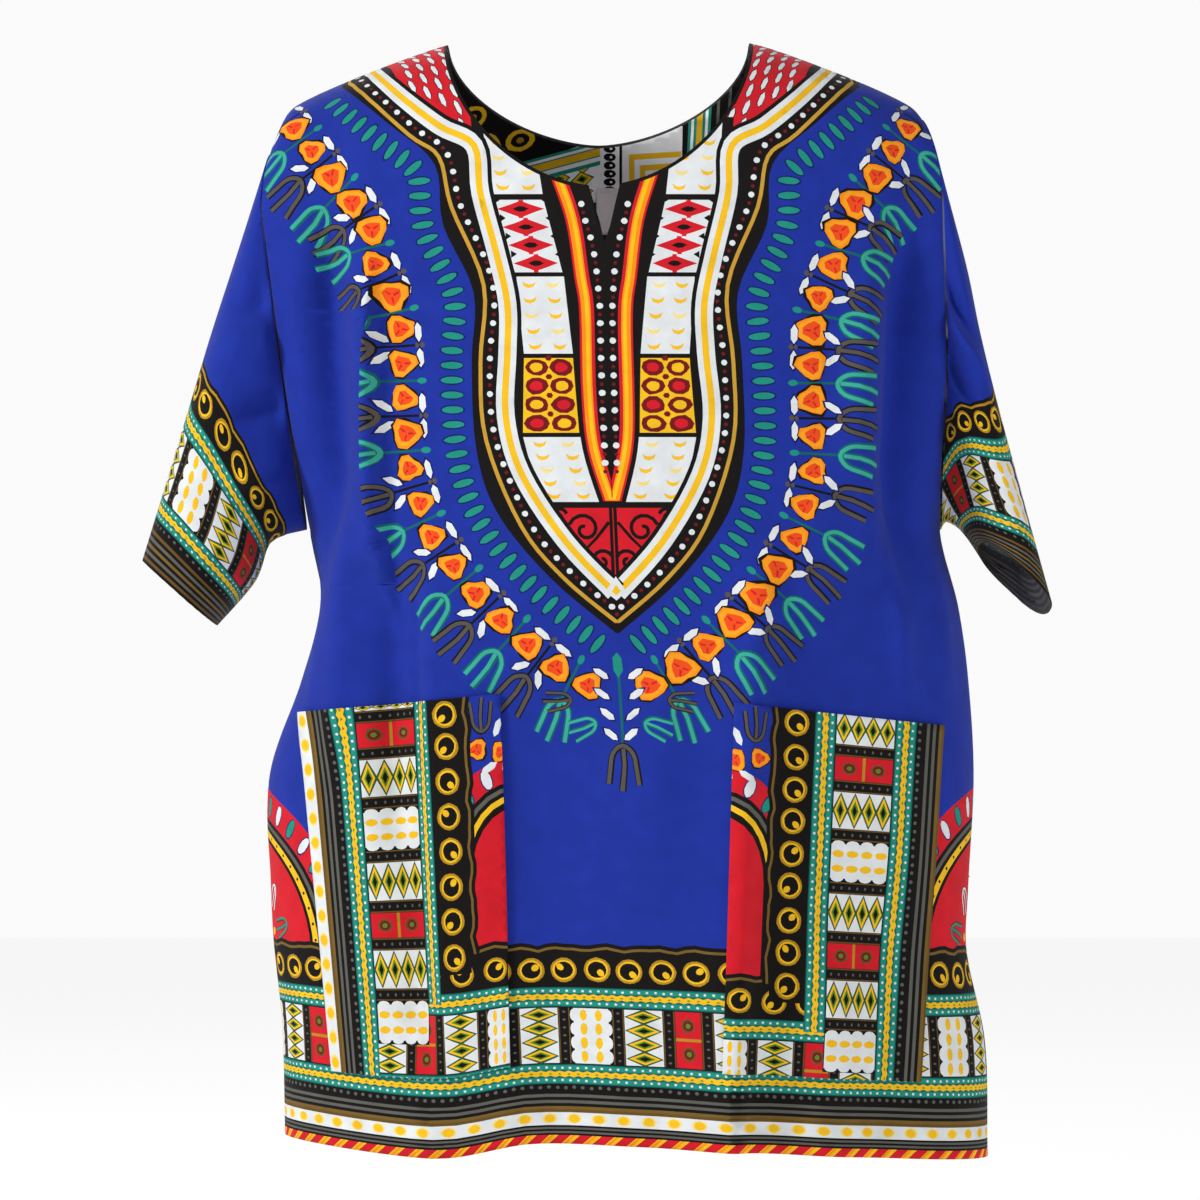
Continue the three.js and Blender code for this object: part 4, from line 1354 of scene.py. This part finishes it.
pieces = {face: body_piece(face) for face in ("front", "back")}
for name, side, rings in (("sleeve_left", -1, LEFT_RINGS), ("sleeve_right", 1, RIGHT_RINGS)):
    pieces[name] = sleeve_piece(name, side, rings)
for name, corners in POCKETS.items():
    pieces[name] = pocket_piece(name, corners)
pieces["neck_facing"] = facing_piece()
pieces["neck_label"] = label_piece()

SHEETS = {  # flat size and area in metres
    "front": (0.58, 0.83, 0.43), "back": (0.57, 0.83, 0.42),
    "sleeve_left": (0.365, 0.30, 0.075), "sleeve_right": (0.365, 0.30, 0.066),
    "pocket_left": (0.152, 0.26, 0.0395), "pocket_right": (0.152, 0.26, 0.0395),
    "neck_facing": (0.34, 0.16, 0.0165), "neck_label": (0.017, 0.034, 0.000578),
}
SLOTS = {"pocket_left": "border", "pocket_right": "border", "neck_facing": "facing", "neck_label": "label"}
for name, obj in pieces.items():
    wide, tall, area = SHEETS[name]
    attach(obj, "root")
    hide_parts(name)
    SLOTS.get(name, "print")

# ---- Camera, light and floor ------------------------------------------------------------
AWAY, VIEW_WIDE = 4.6, 0.855  # metres: how far off the camera is, and how wide its view is there
MIDDLE_UP, FLOOR_UP, FLOOR_HALF = -0.35, -0.95, 6
LAMPS = [  # name, place, watts, size
    ("key", (-3.1, -1.8, 1.4), 124, 0.8),
    ("fill", (2.9, -2.0, 0.6), 36, 1.2),
    ("front", (0.5, -3.6, 1.1), 14, 0.8),
    ("rim", (-0.6, 2.4, 1.6), 40, 1.4),
]
scene = bpy.context.scene


def place_object(name, data):
    obj = bpy.data.objects.new(name, data)
    scene.collection.objects.link(obj)
    return obj


def add_camera():
    camera = place_object("camera", bpy.data.cameras.new("camera"))
    camera.location = (-0.004, -AWAY, -0.395)
    camera.rotation_euler = (math.pi / 2, 0, 0)
    camera.data.lens = 36 * AWAY / VIEW_WIDE
    scene.camera = camera


def add_studio():
    """A dim sky that lights the cloth, with a white backdrop where the camera sees it."""
    scene.view_settings.view_transform = "Standard"
    scene.world = bpy.data.worlds.new("studio")
    scene.world.use_nodes = True
    nodes, join = scene.world.node_tree.nodes, scene.world.node_tree.links.new
    sky, seen = nodes["Background"], nodes.new("ShaderNodeBackground")
    sky.inputs["Color"].default_value = (0.97, 0.98, 1.0, 1)
    sky.inputs["Strength"].default_value = 0.18
    seen.inputs["Color"].default_value = (0.96, 0.96, 0.96, 1)
    path, choose = nodes.new("ShaderNodeLightPath"), nodes.new("ShaderNodeMixShader")
    join(path.outputs["Is Camera Ray"], choose.inputs["Fac"])
    join(sky.outputs["Background"], choose.inputs[1])
    join(seen.outputs["Background"], choose.inputs[2])
    join(choose.outputs["Shader"], nodes["World Output"].inputs["Surface"])
    for name, place, power, size in LAMPS:
        lamp = place_object(name, bpy.data.lights.new(name, "AREA"))
        lamp.data.energy, lamp.data.size = power, size
        lamp.location = place
        towards = Vector((0, 0, MIDDLE_UP)) - Vector(place)
        lamp.rotation_euler = towards.to_track_quat("-Z", "Y").to_euler()


def add_floor():
    mesh = bpy.data.meshes.new("floor")
    corners = [(x * FLOOR_HALF, y * FLOOR_HALF, FLOOR_UP) for x, y in ((-1, -1), (1, -1), (1, 1), (-1, 1))]
    mesh.from_pydata(corners, [], [(0, 1, 2, 3)])
    pale = bpy.data.materials.new("pale floor")
    pale.use_nodes = True
    inputs = pale.node_tree.nodes["Principled BSDF"].inputs
    inputs["Base Color"].default_value = (0.12, 0.12, 0.12, 1)
    inputs["Emission Color"].default_value = (1, 1, 1, 1)
    inputs["Emission Strength"].default_value = 0.88
    inputs["Roughness"].default_value = 0.9
    mesh.materials.append(pale)
    place_object("floor", mesh)


add_camera()
add_studio()
add_floor()
